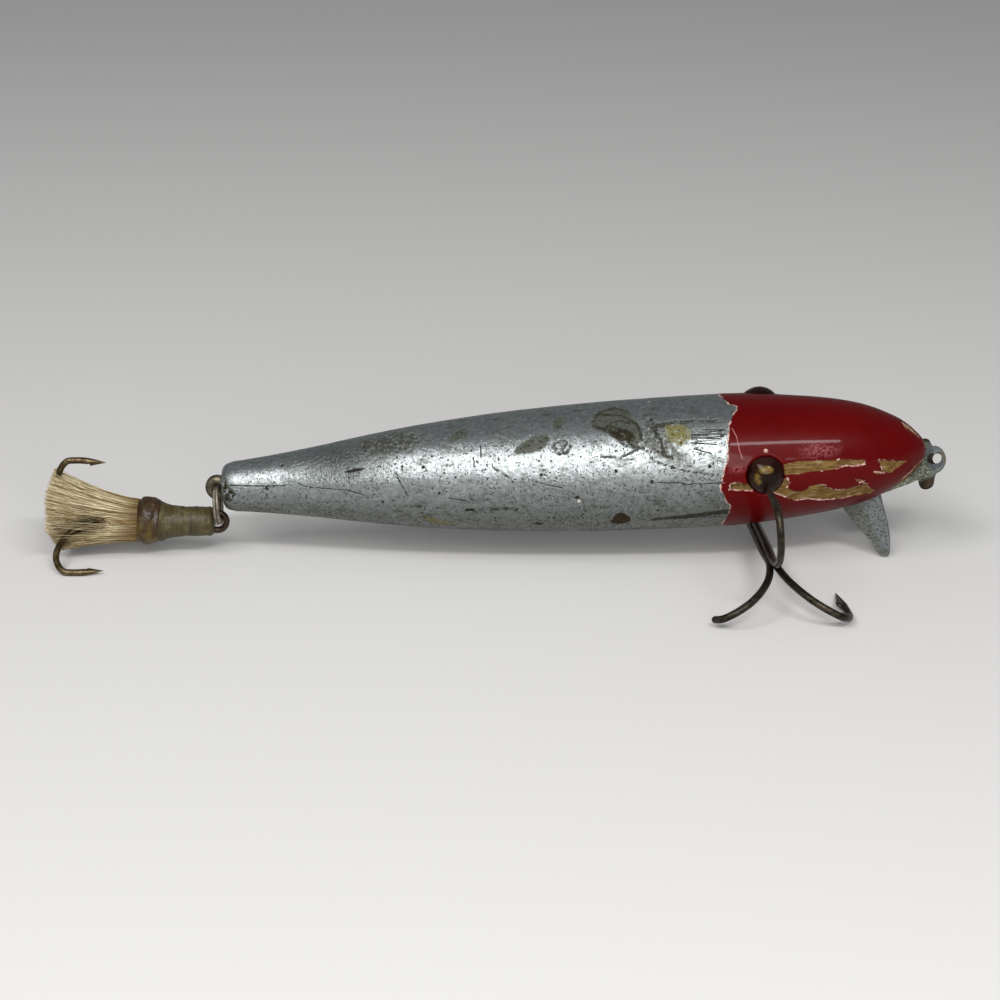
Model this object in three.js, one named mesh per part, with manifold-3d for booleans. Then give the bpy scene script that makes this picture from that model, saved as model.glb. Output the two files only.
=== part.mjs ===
// An old wooden fishing lure lying loose on a table, with its nose to the right.
// A turned wooden body with glass eyes carries a sheet metal lip under its chin, a treble hook on a
// screw eye in the belly, and a treble hook dressed with hair on a split ring at the tail.
// Millimetres, +Z up, +X from the tail to the nose, and +Y away from the side that is seen.
// The origin is on the table, under the middle of the lure's bounding box.
import * as THREE from 'three';
import { mergeVertices } from 'three/addons/utils/BufferGeometryUtils.js';
import Module from 'manifold-3d';

const wasm = await Module();
wasm.setup();
const radians = THREE.MathUtils.degToRad;

// How the lure lies
const leanAngle = radians(29);
const noseUpAngle = radians(3.33);
const tailEndPlace = new THREE.Vector3(-54.7, 0, 14.38);
const clearance = 0.3;

// Turned wooden body: distance from the tail end and radius there
const bodyStations = [
  [0, 3.3], [0.55, 4.25], [1.6, 4.75], [8.5, 5.6], [17.9, 6.9], [27.4, 8.45], [36.9, 9.85],
  [46.3, 10.9], [55.8, 11.75], [65.3, 12.3], [74.7, 12.7], [84.2, 12.9], [93.7, 13.0], [101, 12.95],
  [107.1, 12.5], [112.6, 11.95], [117.3, 11.4], [122.1, 10.6], [126.8, 9.4], [131.5, 7.4],
  [134.2, 5.85], [136.6, 3.6], [138.25, 1.75],
];
const bodyLength = 138.6;
const bodySides = 36;
const tailRecess = { radius: 2.75, depth: 1.9 };

// Glass eyes
const eyeAngle = radians(57.2);
const eyeStation = { right: 105.9, left: 106.5 };
const eyeDiameter = 7.1;
const eyeDomeHeight = 2.1;
const eyeDepth = 2.4;
const eyeRim = 0.5;
const eyeSides = 20;

// Sheet metal lip, as distances back from the hole for the line and out from the middle
const sheet = 0.9;
const lipSlope = 0.41;
const lineTieStation = 140.4;
const lineTieDrop = 3.5;
const lineTieHole = 3.1;
const lineTieForward = 0.25;
const tongue = { halfWidth: 3.35, reach: 2.45 };
const strip = { halfWidth: 4.75, shoulder: 8, length: 18.9, rearHalfWidth: 5.4 };
const ears = { right: { back: 2.3, out: 6.5 }, left: { back: 1.4, out: 6.1 } };
const earWidth = 2.8;
const wing = {
  tip: new THREE.Vector3(131.2, 12.0, -17.9), front: 11.3, crease: 15.8, rear: 0.82, rearDrop: 2.0,
  bulge: 0.72, bulgeForward: 0.35,
};

// Screw eyes
const screwWire = 1.25;
const screwRing = 1.8;
const bellyEye = { station: 104.7, drop: 16.25, shank: 7, stretch: 1 };
const tailEye = { station: -1.1, shank: 5.6, stretch: 1.12 };

// Split ring at the tail
const link = { radius: 3.7, width: 0.9, thickness: 0.8, tilt: radians(-3.5), sides: 20 };

// Treble hooks. Each bend is a row of (distance from the shank, distance past the widest place), both
// as shares of the gap
const bellyHook = {
  wire: 1.45, gap: 14.8, eyeRing: 1.95, eyeWire: 1.3, pointLength: 4.6, barb: 1.5,
  bend: [[0.19, -0.29], [0.34, -0.06], [0.5, 0.07], [0.68, 0.12], [0.86, 0.09], [0.98, -0.06],
    [1.0, -0.4]],
  flareStart: -0.8, tip: [0.98, -0.95], brokenAfter: 6,
};
const tailHook = {
  wire: 1.3, gap: 12.85, eyeRing: 1.75, eyeWire: 0.9, pointLength: 3.6, barb: 1.3,
  bend: [[0.12, -0.16], [0.22, 0.03], [0.43, 0.17], [0.66, 0.22], [0.87, 0.165], [0.985, 0.06],
    [1.0, -0.07], [0.99, -0.27]],
  flareStart: -0.6, tip: [0.965, -0.53],
};
const hookSides = 7;
const hookSteps = 20;
const bellyBends = { top: radians(95), right: radians(-28.5), left: radians(208.6) };
const tailBends = { top: radians(90), left: radians(210), right: radians(-30) };
const bellyHookWidest = new THREE.Vector3(52.4, -35.5, 8.4);
const tailHookShank = 28.2;
const tailHookHeight = 7.1;
const tailHookBack = 0.42;

// Dressing of the tail hook, as distances from the hook's eye
const wrap = { start: 0.9, end: 11.15, radius: 2.9, flare: 1.0 };
const lump = { end: 15.75, radius: 4.65, rise: 0.4 };
const skirt = { end: 32.45, front: 4.5, spread: 8.4, rise: 2.7, slant: 1.5, locks: 11, ripple: 0.04 };
const dressingBore = 0.6;
const dressingSides = 20;

const metal = { metalness: 0.8, roughness: 0.5 };
const materials = {
  wood: { color: 0xa9adab, metalness: 0.2, roughness: 0.45 },
  glass: { color: 0x3a1f12, metalness: 0, roughness: 0.1 },
  lip: { color: 0x8b918a, ...metal },
  steel: { color: 0x6e6a62, ...metal },
  bronze: { color: 0x3b352c, ...metal },
  thread: { color: 0x74683f, metalness: 0, roughness: 0.4 },
  lacquer: { color: 0x3e2a1c, metalness: 0, roughness: 0.2 },
  hair: { color: 0xd2c49f, metalness: 0, roughness: 0.8 },
};

// A closed solid from a geometry whose shared vertices are merged
function solid(geometry) {
  const bare = geometry.clone();
  for (const name of Object.keys(bare.attributes)) {
    if (name !== 'position') bare.deleteAttribute(name);
  }
  const merged = mergeVertices(bare, 1e-4);
  return new wasm.Manifold(new wasm.Mesh({
    numProp: 3,
    vertProperties: new Float32Array(merged.attributes.position.array),
    triVerts: new Uint32Array(merged.index.array),
  }));
}

// A named piece from a solid, with the slivers along its seams taken out
function piece(name, whole, finish) {
  const mesh = whole.simplify(0.01).getMesh();
  const geometry = new THREE.BufferGeometry();
  geometry.setAttribute('position', new THREE.BufferAttribute(mesh.vertProperties, 3));
  geometry.setIndex(new THREE.BufferAttribute(mesh.triVerts, 1));
  const part = new THREE.Mesh(geometry, new THREE.MeshStandardMaterial(finish));
  part.name = name;
  return part;
}

// A round wire along a curve, with flat closed ends
function wireAlong(curve, diameter, steps) {
  const section = new THREE.Shape();
  for (let i = 0; i < hookSides; i += 1) {
    const turn = (2 * Math.PI * (i + 0.5)) / hookSides;
    const x = (diameter / 2) * Math.cos(turn);
    const y = (diameter / 2) * Math.sin(turn);
    if (i === 0) section.moveTo(x, y);
    else section.lineTo(x, y);
  }
  section.closePath();
  return solid(new THREE.ExtrudeGeometry(section, { steps, extrudePath: curve }));
}

// Places a geometry whose own axis is +Y so that it points from one place to another
function pointed(geometry, from, to) {
  const way = to.clone().sub(from).normalize();
  const turn = new THREE.Quaternion().setFromUnitVectors(new THREE.Vector3(0, 1, 0), way);
  const middle = from.clone().add(to).multiplyScalar(0.5);
  return solid(geometry.applyQuaternion(turn).translate(middle.x, middle.y, middle.z));
}

// A round rod between two places
function rod(from, to, startRadius, endRadius, sides) {
  const length = from.distanceTo(to);
  return pointed(new THREE.CylinderGeometry(endRadius, startRadius, length, sides), from, to);
}

// A flat plate of sheet between corners that lie in one plane, centred on that plane
function plate(corners, thickness, hole) {
  const origin = corners[0];
  const along = corners[1].clone().sub(origin).normalize();
  const normal = along.clone().cross(corners[2].clone().sub(origin)).normalize();
  const across = normal.clone().cross(along);
  const flat = corners.map((corner) => {
    const offset = corner.clone().sub(origin);
    return new THREE.Vector2(offset.dot(along), offset.dot(across));
  });
  const shape = new THREE.Shape(flat);
  if (hole) {
    const offset = hole.centre.clone().sub(origin);
    const circle = new THREE.Path();
    circle.absarc(offset.dot(along), offset.dot(across), hole.diameter / 2, 0, 2 * Math.PI, true);
    shape.holes.push(circle);
  }
  const settings = { depth: thickness, bevelEnabled: false, curveSegments: 8 };
  const geometry = new THREE.ExtrudeGeometry(shape, settings);
  geometry.translate(0, 0, -thickness / 2);
  const place = new THREE.Matrix4().makeBasis(along, across, normal).setPosition(origin);
  return solid(geometry.applyMatrix4(place));
}

// Radius of the turned body at a distance from its tail end
function bodyRadius(station) {
  const next = bodyStations.findIndex(([x]) => x >= station);
  const [before, smaller] = bodyStations[next - 1];
  const [after, larger] = bodyStations[next];
  return THREE.MathUtils.mapLinear(station, before, after, smaller, larger);
}

// Places a geometry that stands along +Y on the side of the body, with its foot at a height above the
// body's axis and at an angle from the back that grows towards the right side
function onBody(geometry, station, angle, height) {
  geometry.rotateX(Math.PI / 2 + angle);
  return solid(geometry.translate(station, -height * Math.sin(angle), height * Math.cos(angle)));
}

// Wooden body, with the eye sockets, the holes of the screw eyes, the recess at the tail and the flat
// under the chin cut out
function woodenBody() {
  const profile = bodyStations.map(([station, radius]) => new THREE.Vector2(radius, station));
  profile.unshift(new THREE.Vector2(0, 0));
  profile.push(new THREE.Vector2(0, bodyLength));
  let body = solid(new THREE.LatheGeometry(profile, bodySides).rotateZ(-Math.PI / 2));
  const cut = (tool) => {
    body = body.subtract(tool);
  };
  const socketRadius = eyeDiameter / 2 + clearance;
  const socketHeight = 6;
  for (const [angle, station] of [[eyeAngle, eyeStation.right], [-eyeAngle, eyeStation.left]]) {
    const socket = new THREE.CylinderGeometry(socketRadius, socketRadius, socketHeight, eyeSides);
    socket.translate(0, socketHeight / 2, 0);
    cut(onBody(socket, station, angle, bodyRadius(station) - eyeDepth - clearance));
  }
  const onAxis = (station, drop = 0) => new THREE.Vector3(station, 0, -drop);
  const recessEnd = onAxis(tailRecess.depth);
  cut(rod(onAxis(-tailRecess.depth), recessEnd, tailRecess.radius, tailRecess.radius * 0.9, 20));
  const bore = screwWire / 2 + clearance;
  const tailBore = tailEye.station + screwRing + tailEye.shank + clearance;
  cut(rod(onAxis(0), onAxis(tailBore), bore, bore, 9));
  const bellyBore = bellyEye.drop - screwRing - bellyEye.shank - clearance;
  cut(rod(onAxis(bellyEye.station, bodyRadius(bellyEye.station) + 1),
    onAxis(bellyEye.station, bellyBore), bore, bore, 9));
  const chin = new THREE.BoxGeometry(40, 40, 20).translate(0, 0, -10 + sheet / 2 + clearance);
  chin.rotateY(-Math.atan(lipSlope)).translate(lineTieStation, 0, -lineTieDrop);
  cut(solid(chin));
  return body;
}

// Glass eye: a low dome on a short round stem
function glassEye(angle, station) {
  const radius = eyeDiameter / 2;
  const rise = eyeDomeHeight;
  const sphere = (radius * radius + rise * rise) / (2 * rise);
  const reach = Math.asin(radius / sphere);
  const profile = [new THREE.Vector2(0, 0), new THREE.Vector2(radius - eyeRim, 0)];
  profile.push(new THREE.Vector2(radius, eyeRim));
  const rings = 5;
  for (let i = 0; i <= rings; i += 1) {
    const turn = reach * (1 - i / rings);
    const lift = eyeDepth - eyeRim + rise - sphere * (1 - Math.cos(turn));
    profile.push(new THREE.Vector2(i === rings ? 0 : sphere * Math.sin(turn), lift));
  }
  return onBody(new THREE.LatheGeometry(profile, eyeSides), station, angle, bodyRadius(station) - eyeDepth);
}

// Sheet metal lip: a strip under the chin with a round tongue for the line, two small ears and two
// pointed wings bent down from its rear
function metalLip() {
  const middle = new THREE.Vector3(lineTieStation, 0, -lineTieDrop);
  const back = new THREE.Vector3(-1, 0, -lipSlope).normalize();
  const at = (run, side) => middle.clone().addScaledVector(back, run).setY(side);
  const outline = [at(strip.shoulder, -strip.halfWidth)];
  const steps = 8;
  for (let i = 0; i <= steps; i += 1) {
    const turn = Math.PI * (i / steps - 0.5);
    outline.push(at(-tongue.reach * Math.cos(turn), tongue.halfWidth * Math.sin(turn)));
  }
  outline.push(at(strip.shoulder, strip.halfWidth), at(strip.length, strip.rearHalfWidth));
  outline.push(at(strip.length, -strip.rearHalfWidth));
  const hole = { centre: at(-lineTieForward, 0), diameter: lineTieHole };
  const parts = [plate(outline.reverse(), sheet, hole)];
  for (const [side, ear] of [[-1, ears.right], [1, ears.left]]) {
    const half = earWidth / 2;
    const root = side * (tongue.halfWidth - 1);
    const end = at(ear.back, side * (ear.out - half));
    parts.push(plate([at(ear.back - half, root), at(ear.back - half, end.y), at(ear.back + half, end.y),
      at(ear.back + half, root)], sheet));
    const disc = new THREE.CylinderGeometry(half, half, sheet, 12);
    disc.rotateX(Math.PI / 2).rotateY(-Math.atan(lipSlope)).translate(end.x, end.y, end.z);
    parts.push(solid(disc));
    const tip = new THREE.Vector3(wing.tip.x, side * wing.tip.y, wing.tip.z);
    const corner = at(strip.length, side * strip.rearHalfWidth);
    const rear = at(strip.length, side * strip.rearHalfWidth * wing.rear);
    rear.z -= wing.rearDrop;
    const crease = at(wing.crease, side * strip.rearHalfWidth);
    const front = at(wing.front, side * (strip.halfWidth + 0.5));
    const bulge = front.clone().lerp(tip, wing.bulge);
    bulge.x += wing.bulgeForward;
    const facets = [[crease, front, tip], [front, bulge, tip], [rear, crease, tip], [corner, rear, crease]];
    for (const facet of facets) parts.push(plate(facet, sheet));
    const edges = [[crease, tip], [front, bulge], [bulge, tip], [rear, tip], [rear, crease],
      [crease, front], [corner, rear]];
    for (const [from, to] of edges) parts.push(rod(from, to, sheet / 2, sheet / 2, 6));
    parts.push(solid(new THREE.SphereGeometry(sheet * 0.58, 6, 4).translate(tip.x, tip.y, tip.z)));
  }
  return wasm.Manifold.union(parts);
}

// Screw eye: a closed ring of wire in the XZ plane, with its shank along +X
function screwEye({ shank, stretch }) {
  const ring = new THREE.TorusGeometry(screwRing, screwWire / 2, 7, 18);
  ring.rotateX(Math.PI / 2).scale(1, 1, stretch);
  const start = new THREE.Vector3(screwRing, 0, 0);
  const end = new THREE.Vector3(screwRing + shank, 0, 0);
  return solid(ring).add(rod(start, end, screwWire / 2, screwWire * 0.35, 7));
}

// Treble hook in its own frame: eye at the origin, shank along +X to the widest place, and one bend at
// each angle about X. A broken bend has lost its point and ends in a rounded stub.
function trebleHook(hook, shank, angles, brokenAngle = null, extra = 0) {
  const wire = hook.wire + 2 * extra;
  const inner = hook.wire * 0.55;
  const ring = new THREE.TorusGeometry(hook.eyeRing, hook.eyeWire / 2 + extra, 7, 18);
  const parts = [solid(ring.rotateX(Math.PI / 2))];
  for (const angle of angles) {
    const broken = angle === brokenAngle;
    const at = (out, along) => new THREE.Vector3(along, out * Math.cos(angle), out * Math.sin(angle));
    const shared = ([out, past]) => at(out * hook.gap, shank + past * hook.gap);
    const path = [at(inner, hook.eyeRing * 0.9), at(inner, (hook.eyeRing + shank) / 2)];
    path.push(at(inner, shank + hook.flareStart * hook.gap));
    path.push(...(broken ? hook.bend.slice(0, hook.brokenAfter) : hook.bend).map(shared));
    const last = path[path.length - 1];
    if (broken) {
      const stub = new THREE.SphereGeometry(wire / 2, 7, 5).translate(last.x, last.y, last.z);
      parts.push(wireAlong(new THREE.CatmullRomCurve3(path, false, 'centripetal'), wire, hookSteps - 4));
      parts.push(solid(stub));
    } else {
      const tip = shared(hook.tip);
      const spear = tip.clone().sub(last).normalize();
      const foot = tip.clone().addScaledVector(spear, -hook.pointLength);
      if (foot.distanceTo(last) > 0.5) path.push(foot);
      parts.push(wireAlong(new THREE.CatmullRomCurve3(path, false, 'centripetal'), wire, hookSteps));
      parts.push(rod(foot.clone().addScaledVector(spear, -0.2), tip, wire / 2, 0, hookSides));
      const barbFoot = foot.clone().addScaledVector(spear, -0.3);
      const barbRoot = tip.clone().addScaledVector(spear, -hook.pointLength * 0.55);
      const barbTip = barbFoot.clone().addScaledVector(at(-1, 0), hook.barb);
      parts.push(plate([barbRoot, barbFoot, barbTip], hook.wire * 0.45 + 2 * extra));
    }
  }
  return wasm.Manifold.union(parts);
}

// A sleeve about X, between a bore and an outer radius that follows a profile of (station, radius)
function sleeve(profile) {
  const ends = [profile[0][0], profile[profile.length - 1][0]];
  const points = profile.map(([station, radius]) => new THREE.Vector2(radius, station));
  points.unshift(new THREE.Vector2(dressingBore, ends[0]));
  points.push(new THREE.Vector2(dressingBore, ends[1]), points[0].clone());
  return solid(new THREE.LatheGeometry(points, dressingSides).rotateZ(-Math.PI / 2));
}

// Lacquered lump that covers the roots of the hair
function lacqueredLump() {
  const profile = [];
  const rings = 6;
  for (let i = 0; i <= rings; i += 1) {
    const share = i / rings;
    const swell = Math.sin(Math.PI * (0.16 + 0.68 * share)) ** 0.5;
    profile.push([THREE.MathUtils.lerp(wrap.end + clearance, lump.end, share), lump.radius * swell]);
  }
  return sleeve(profile).translate([0, 0, lump.rise]);
}

// Hair skirt: a flaring bundle of locks, higher at the end, with its lower corner cut back
function hairSkirt() {
  const start = lump.end + clearance;
  const bundle = new THREE.CylinderGeometry(1, 1, 1, skirt.locks * 2, 6);
  const place = bundle.attributes.position;
  const point = new THREE.Vector3();
  for (let i = 0; i < place.count; i += 1) {
    point.fromBufferAttribute(place, i);
    const share = point.y + 0.5;
    const turn = Math.atan2(point.z, point.x);
    const reach = Math.hypot(point.x, point.z);
    const lock = 1 + skirt.ripple * share * Math.cos(skirt.locks * turn);
    const radius = reach * lock * THREE.MathUtils.lerp(skirt.front, skirt.spread, share);
    const cut = share > 0.99 ? skirt.slant * Math.max(0, -Math.sin(turn)) * reach : 0;
    const along = THREE.MathUtils.lerp(start, skirt.end, share) - cut;
    const up = radius * Math.sin(turn) + skirt.rise * share ** 1.3;
    place.setXYZ(i, along, -radius * Math.cos(turn), up);
  }
  return solid(bundle);
}

const lure = new THREE.Group();
lure.position.copy(tailEndPlace);
lure.rotation.set(leanAngle, -noseUpAngle, 0, 'YXZ');
lure.add(piece('wooden_body', woodenBody(), materials.wood));
lure.add(piece('right_glass_eye', glassEye(eyeAngle, eyeStation.right), materials.glass));
lure.add(piece('left_glass_eye', glassEye(-eyeAngle, eyeStation.left), materials.glass));
lure.add(piece('metal_lip', metalLip(), materials.lip));

const bellyScrewEye = piece('belly_screw_eye', screwEye(bellyEye), materials.steel);
bellyScrewEye.rotation.set(0, -Math.PI / 2, 0);
bellyScrewEye.position.set(bellyEye.station, 0, -bellyEye.drop);
lure.add(bellyScrewEye);

const tailScrewEye = piece('tail_screw_eye', screwEye(tailEye), materials.steel);
tailScrewEye.rotation.set(-leanAngle, 0, 0);
tailScrewEye.position.set(tailEye.station, 0, 0);
lure.add(tailScrewEye);

const object = new THREE.Group();
object.add(lure);
lure.updateMatrixWorld(true);

// Belly hook: its eye hangs on the belly screw eye and two of its bends rest on the table
const hanger = new THREE.Vector3(bellyEye.station, 0, -bellyEye.drop - screwRing);
hanger.applyMatrix4(lure.matrixWorld).add(new THREE.Vector3(0, -0.3, 0));
const shankWay = bellyHookWidest.clone().sub(hanger);
const bellyHookShank = shankWay.length();
shankWay.normalize();
const shankSide = new THREE.Vector3(0, 0, 1).cross(shankWay).normalize();
const shankTop = shankWay.clone().cross(shankSide);
const bellyTreble = piece('belly_treble_hook',
  trebleHook(bellyHook, bellyHookShank, Object.values(bellyBends), bellyBends.left), materials.bronze);
bellyTreble.applyMatrix4(new THREE.Matrix4().makeBasis(shankWay, shankSide, shankTop).setPosition(hanger));
object.add(bellyTreble);

// Split ring at the tail, between the hole of the screw eye and the hole of the hook's eye
const tailHole = new THREE.Vector3(tailEye.station, 0, 0).applyMatrix4(lure.matrixWorld);
const ringShape = new THREE.Shape();
ringShape.absellipse(link.radius, 0, link.thickness / 2, link.width / 2, 0, 2 * Math.PI);
const ringGeometry = new THREE.LatheGeometry(ringShape.getPoints(4), link.sides);
const splitRing = piece('tail_split_ring', solid(ringGeometry.rotateZ(-Math.PI / 2)), materials.steel);
splitRing.rotation.set(0, link.tilt, 0);
splitRing.position.set(tailHole.x - 0.08, 0, (tailHole.z + tailHookHeight) / 2);
object.add(splitRing);

// Tail hook with its dressing: thread, lacquer and hair keep clear of the hook's wires
const dressed = new THREE.Group();
dressed.position.set(tailHole.x - tailHookBack, 0, tailHookHeight);
dressed.rotation.set(0, 0, Math.PI);
const tailAngles = Object.values(tailBends);
const room = trebleHook(tailHook, tailHookShank, tailAngles, null, clearance);
const wrapProfile = [[wrap.start, wrap.radius], [4, wrap.radius + 0.1], [9, wrap.radius + 0.2],
  [wrap.end, wrap.radius + wrap.flare]];
dressed.add(piece('tail_treble_hook', trebleHook(tailHook, tailHookShank, tailAngles), materials.steel));
dressed.add(piece('thread_wrapping', sleeve(wrapProfile).subtract(room), materials.thread));
dressed.add(piece('lacquered_head', lacqueredLump().subtract(room), materials.lacquer));
dressed.add(piece('hair_skirt', hairSkirt().subtract(room), materials.hair));
object.add(dressed);

// The table is at Z = 0, and the middle of the bounding box is over the origin
object.updateMatrixWorld(true);
const box = new THREE.Box3().setFromObject(object, true);
const centre = box.getCenter(new THREE.Vector3());
object.position.set(-centre.x, -centre.y, -box.min.z);

export default object;
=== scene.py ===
import math

import bpy
import numpy as np
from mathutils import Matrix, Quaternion, Vector


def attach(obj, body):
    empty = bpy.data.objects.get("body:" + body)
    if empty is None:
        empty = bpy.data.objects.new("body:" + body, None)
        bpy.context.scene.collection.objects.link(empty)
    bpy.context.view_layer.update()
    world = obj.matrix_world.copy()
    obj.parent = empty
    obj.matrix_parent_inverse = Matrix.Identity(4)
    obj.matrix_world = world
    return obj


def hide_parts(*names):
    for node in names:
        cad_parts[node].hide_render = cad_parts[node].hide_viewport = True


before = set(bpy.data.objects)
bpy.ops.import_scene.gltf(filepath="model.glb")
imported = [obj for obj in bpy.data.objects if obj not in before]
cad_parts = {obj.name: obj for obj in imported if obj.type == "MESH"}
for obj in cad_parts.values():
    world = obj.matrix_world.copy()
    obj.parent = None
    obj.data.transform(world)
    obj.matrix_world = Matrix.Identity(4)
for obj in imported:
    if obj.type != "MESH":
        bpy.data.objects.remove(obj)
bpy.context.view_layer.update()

# The view: the lure lies on a table and is seen from its right side, from 500 mm away and a little above.
# The line of sight meets the table's frame just over the middle of the lure.
view_elevation = math.radians(21.0)
view_distance, view_width, film_width = 0.500, 0.19802, 36.0
look_at = Vector((0.31, 9.482, 11.649)) / 1000
back_off = Vector((0.0, -math.cos(view_elevation), math.sin(view_elevation)))
camera_data = bpy.data.cameras.new("camera")
camera_data.sensor_width = film_width
camera_data.lens = film_width * view_distance / view_width
camera_data.clip_start = 0.01
camera = bpy.data.objects.new("camera", camera_data)
camera.location = look_at + back_off * view_distance
camera.rotation_euler = back_off.to_track_quat("Z", "Y").to_euler()
bpy.context.scene.collection.objects.link(camera)
bpy.context.scene.camera = camera
bpy.context.scene.view_settings.view_transform = "Standard"


# The turned body is one piece of light wood, sanded to a torpedo that is thickest behind the head.
# It is primed in pinkish white, sprayed with aluminium paint and dipped at the head in red. Both are
# rubbed and chipped, down to the primer and down to the greyed wood.
shift = np.array([0.31, 9.482, 0.0486])
tail_end = np.array([-54.7, 0.0, 14.38]) + shift
lean, nose_up = math.radians(29.0), math.radians(3.33)
body_profile = np.array([
    [1.9, 0.3], [1.9, 2.3], [1.7, 2.6], [0.3, 2.75], [0.05, 3.0], [0.1, 3.5], [0.55, 4.25], [1.6, 4.75],
    [4.6, 5.15], [8.5, 5.6], [17.9, 6.9], [27.4, 8.45], [36.9, 9.85], [46.3, 10.9], [55.8, 11.75], [65.3, 12.3],
    [74.7, 12.7], [84.2, 12.9], [93.7, 13.0], [101.0, 12.93], [107.1, 12.5], [112.6, 11.95],
    [117.3, 11.4], [122.1, 10.6], [126.8, 9.4], [131.5, 7.4], [134.2, 5.85], [136.6, 3.7],
    [138.1, 1.8], [138.6, 0.25]])
eye_radius = 3.55
eye_places = {"right": (105.9, math.radians(57.2)), "left": (106.5, math.radians(-57.2))}
socket_wall, socket_depth, socket_rim = 0.28, 1.2, 0.07
lip_slope, lip_gap, sheet = 0.41, 0.06, 0.9
line_tie = np.array([140.4, 0.0, -3.5])
fore_part = 60.0
tail_row, head_row = 7, 18
part_rows, body_columns = (17, 189, 205), 220

turn_lean = np.array([[1, 0, 0], [0, math.cos(lean), -math.sin(lean)], [0, math.sin(lean), math.cos(lean)]])
turn_nose = np.array([[math.cos(nose_up), 0, -math.sin(nose_up)], [0, 1, 0],
                      [math.sin(nose_up), 0, math.cos(nose_up)]])
lure_turn = turn_nose @ turn_lean


def as_it_lies(points):
    """From the lure's own frame (x to the nose, y to the left, z to the back) to the table's:
    turned to its lean and its lifted nose, then moved to where the tail end is."""
    return np.asarray(points) @ lure_turn.T + tail_end


def smooth_curve(at, knots, values):
    """Cubic through the values at the knots: value = the two-point Hermite blend of the nearest
    values and their slopes, with each slope the mean of the chords beside it."""
    knots = np.asarray(knots, float)
    values = np.asarray(values, float)
    slopes = np.gradient(values, knots, axis=0)
    cell = np.clip(np.searchsorted(knots, at, side="right") - 1, 0, len(knots) - 2)
    width = knots[cell + 1] - knots[cell]
    share = (at - knots[cell]) / width
    if values.ndim > 1:
        width, share = width[..., None], share[..., None]
    square, cube = share ** 2, share ** 3
    return ((2 * cube - 3 * square + 1) * values[cell] + (cube - 2 * square + share) * width * slopes[cell]
            + (3 * square - 2 * cube) * values[cell + 1] + (cube - square) * width * slopes[cell + 1])


def body_radius(station):
    """Radius of the turned body at a station along it: the smooth curve through its profile's rows."""
    return smooth_curve(np.asarray(station, float), *body_profile[tail_row - 1:].T)


def chord(points):
    """Length along a row of points: sum of the steps before each."""
    steps = np.linalg.norm(np.diff(np.asarray(points, float), axis=0), axis=1)
    return np.concatenate([[0.0], np.cumsum(steps)])


def worn_body():
    """Body of revolution: radius along a smooth profile, cut flat where the lip lies, with a round
    socket for each eye, whose wall falls smoothly from a rim that stands up a little."""
    lengths = chord(body_profile)
    stops = lengths[[0, tail_row, head_row, -1]]
    steps = [np.linspace(*part, endpoint=False) for part in zip(stops[:-1], stops[1:], part_rows)]
    outline = smooth_curve(np.append(np.concatenate(steps), lengths[-1]), lengths, body_profile)
    around = np.radians(np.linspace(-180, 180, body_columns + 1)[:-1])
    s = np.repeat(outline[:, :1], body_columns, axis=1)
    r = np.repeat(outline[:, 1:], body_columns, axis=1)
    angle = np.repeat(around[None, :], len(outline), axis=0)
    fore = s > fore_part
    down = np.array([lip_slope, -1.0]) / math.hypot(lip_slope, 1.0)
    depth = -(sheet / 2 + lip_gap) - down[0] * (s - line_tie[0]) + down[1] * line_tie[2]
    toward = down[1] * np.cos(angle)
    flat = np.where(toward > 0.05, depth / np.maximum(toward, 0.05), 1e9)
    under_lip = r - flat
    r = np.where(fore, np.minimum(r, np.maximum(flat, 0.2)), r)
    for station, way in eye_places.values():
        y, z = -r * np.sin(angle), r * np.cos(angle)
        out = -y * math.sin(way) + z * math.cos(way)
        across = np.sqrt((s - station) ** 2 + (y * math.cos(way) + z * math.sin(way)) ** 2)
        dip = np.clip((eye_radius + socket_wall - across) / socket_wall, 0, 1)
        raised = socket_rim * np.exp(-((across - eye_radius - 0.55) / 0.3) ** 2)
        r = np.where((out > 0) & fore, r - socket_depth * dip * dip * (3 - 2 * dip) + raised, r)
    points = np.stack([s, -r * np.sin(angle), r * np.cos(angle)], -1)
    return outline, around, s, angle, points, under_lip


# The wear is drawn on the unrolled body by station and degree from the back, the right side above 0.
# Here s is the station, v the distance round on a cylinder of one girth, w the same at the body's own
# girth, and barrel the outline's stations and radii from where the stations only grow.
outline, around, s, angle, points, under_lip = worn_body()
degrees = np.degrees(angle)
chart_girth = 12.0
v = angle * chart_girth
barrel = outline[8:].T
girth = np.interp(s, *barrel)
w = angle * girth

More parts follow.
